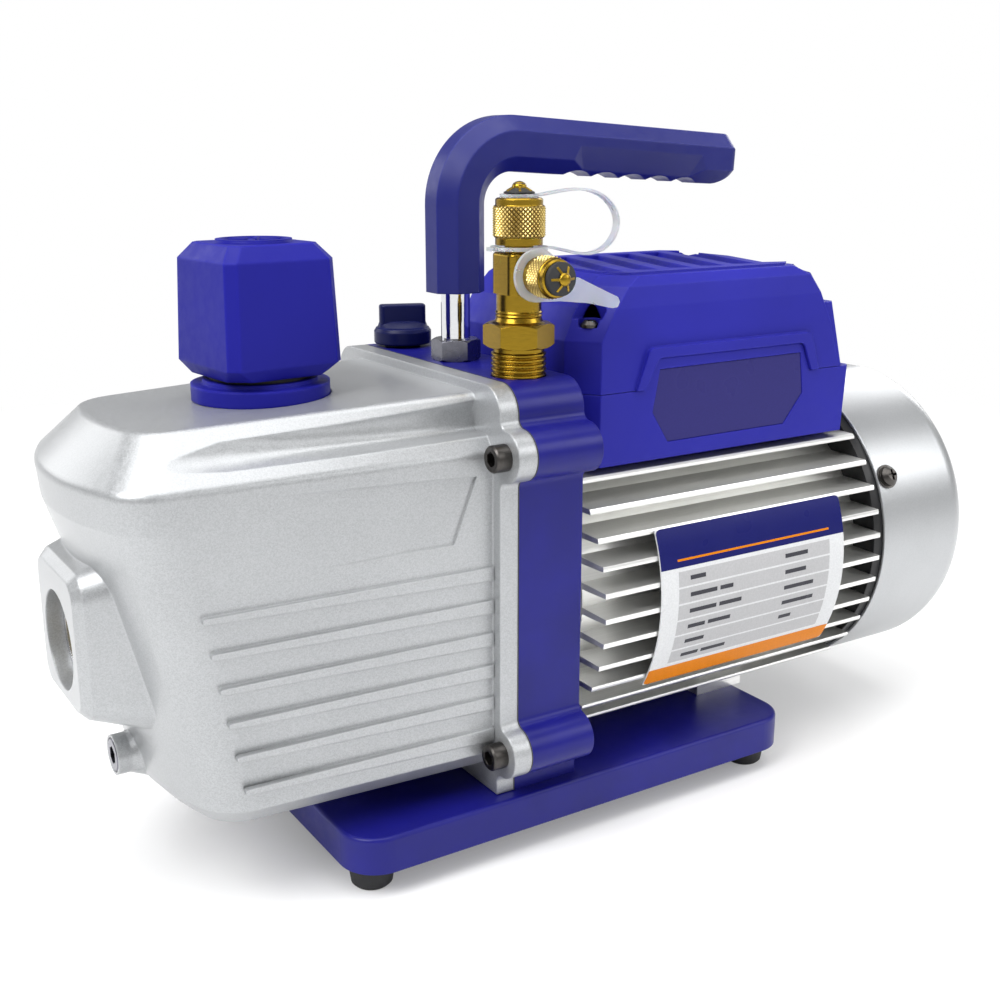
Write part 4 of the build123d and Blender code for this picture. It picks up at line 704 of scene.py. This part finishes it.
def floor_and_backdrop():
    """A pale floor that goes over into the bright backdrop some way from the pump, and a little nearer to it
    for the camera than for the light that the floor throws back."""
    bpy.ops.mesh.primitive_circle_add(vertices=96, radius=FLOOR_RADIUS, fill_type="NGON")
    floor = bpy.context.object
    floor.name = "studio_floor"
    s = Shader("studio_floor")
    tone = s.noise(3, 2)
    shade = s.blend(s.vary(tone, 0, 1), FLOOR_DARK, FLOOR_LIGHT)
    material = s.finish(shade, s.span(tone, 0, 1, 0.55, 0.65), s.bump(s.noise(400, 2), 0.005 * MM))
    distance = s.length(s.place)
    far = s.span(distance, 0.45, 1.1, 0, 1)
    near = s.span(distance, 0.30, 0.95, 0.22, 1)
    seen = s.numbers("MULTIPLY", near, s.node("LightPath").outputs["Is Camera Ray"])
    backdrop = s.node("Emission")
    s.feed(WHITE, backdrop.inputs["Color"])
    s.feed(1.0, backdrop.inputs["Strength"])
    both = s.node("MixShader")
    s.feed(s.numbers("MAXIMUM", far, seen), both.inputs[0])
    s.feed(s.surface.outputs[0], both.inputs[1])
    s.feed(backdrop.outputs[0], both.inputs[2])
    s.feed(both.outputs[0], s.output.inputs[0])
    give(floor, material)


def studio_world(glow, seen):
    """A plain pale surround that lights the pump with glow, and shows behind it as the pale wall seen."""
    world = bpy.data.worlds.new("studio")
    world.use_nodes = True
    tree = world.node_tree
    tree.nodes.clear()
    path = tree.nodes.new("ShaderNodeLightPath")
    both = tree.nodes.new("ShaderNodeMixShader")
    output = tree.nodes.new("ShaderNodeOutputWorld")
    tree.links.new(path.outputs["Is Camera Ray"], both.inputs[0])
    for socket, strength in ((both.inputs[1], glow), (both.inputs[2], seen)):
        surround = tree.nodes.new("ShaderNodeBackground")
        surround.inputs["Color"].default_value = (*WHITE, 1.0)
        surround.inputs["Strength"].default_value = strength
        tree.links.new(surround.outputs[0], socket)
    tree.links.new(both.outputs[0], output.inputs[0])
    bpy.context.scene.world = world


def soft_light(name, place, aim, size, power):
    """A rectangular lamp of this width and height and this many watts, turned towards aim."""
    light = bpy.data.lights.new(name, "AREA")
    light.shape = "RECTANGLE"
    light.size, light.size_y = size
    light.energy = power
    obj = bpy.data.objects.new(name, light)
    obj.location = place
    obj.rotation_euler = (Vector(aim) - Vector(place)).to_track_quat("-Z", "Y").to_euler()
    bpy.context.scene.collection.objects.link(obj)


def studio_lights():
    soft_light("front_left", place=(-1.3, -0.30, 1.45), aim=(-0.05, 0, 0.12), size=(1.0, 1.0), power=27)
    soft_light("top", place=(-0.1, -0.1, 2.0), aim=(0, 0, 0.1), size=(2.2, 1.8), power=36)
    soft_light("near", place=(0.4, -1.7, 0.9), aim=(0, 0, 0.12), size=(1.2, 0.6), power=3)
    soft_light("right", place=(1.25, -1.1, 1.0), aim=(0.1, 0, 0.12), size=(0.8, 0.8), power=9)
    soft_light("back_left", place=(-0.9, 1.6, 0.8), aim=(-0.1, 0, 0.15), size=(1.0, 0.8), power=5.5)
    soft_light("rim", place=(1.4, 0.6, 0.8), aim=(0, 0, 0.15), size=(0.7, 0.9), power=6)


def photo_camera():
    """The photograph's own viewing place, as estimated from the pump's sizes."""
    camera = bpy.data.cameras.new("camera")
    camera.lens = CAMERA_LENS
    camera.sensor_width = CAMERA_SENSOR
    camera.clip_start = 0.01
    camera.clip_end = 50
    obj = bpy.data.objects.new("camera", camera)
    obj.location = CAMERA_PLACE
    azimuth, down = math.radians(CAMERA_AZIMUTH), math.radians(CAMERA_DOWN)
    level = math.cos(down)
    ahead = Vector((math.sin(azimuth) * level, math.cos(azimuth) * level, -math.sin(down)))
    obj.rotation_euler = ahead.to_track_quat("-Z", "Y").to_euler()
    bpy.context.scene.collection.objects.link(obj)
    bpy.context.scene.camera = obj


dress_cad_nodes()
knurl_the_caps()
fit_the_nibs()
print_nameplate()

floor_and_backdrop()
studio_world(WORLD_GLOW, WORLD_SEEN)
studio_lights()
photo_camera()
bpy.context.scene.view_settings.view_transform = "Standard"
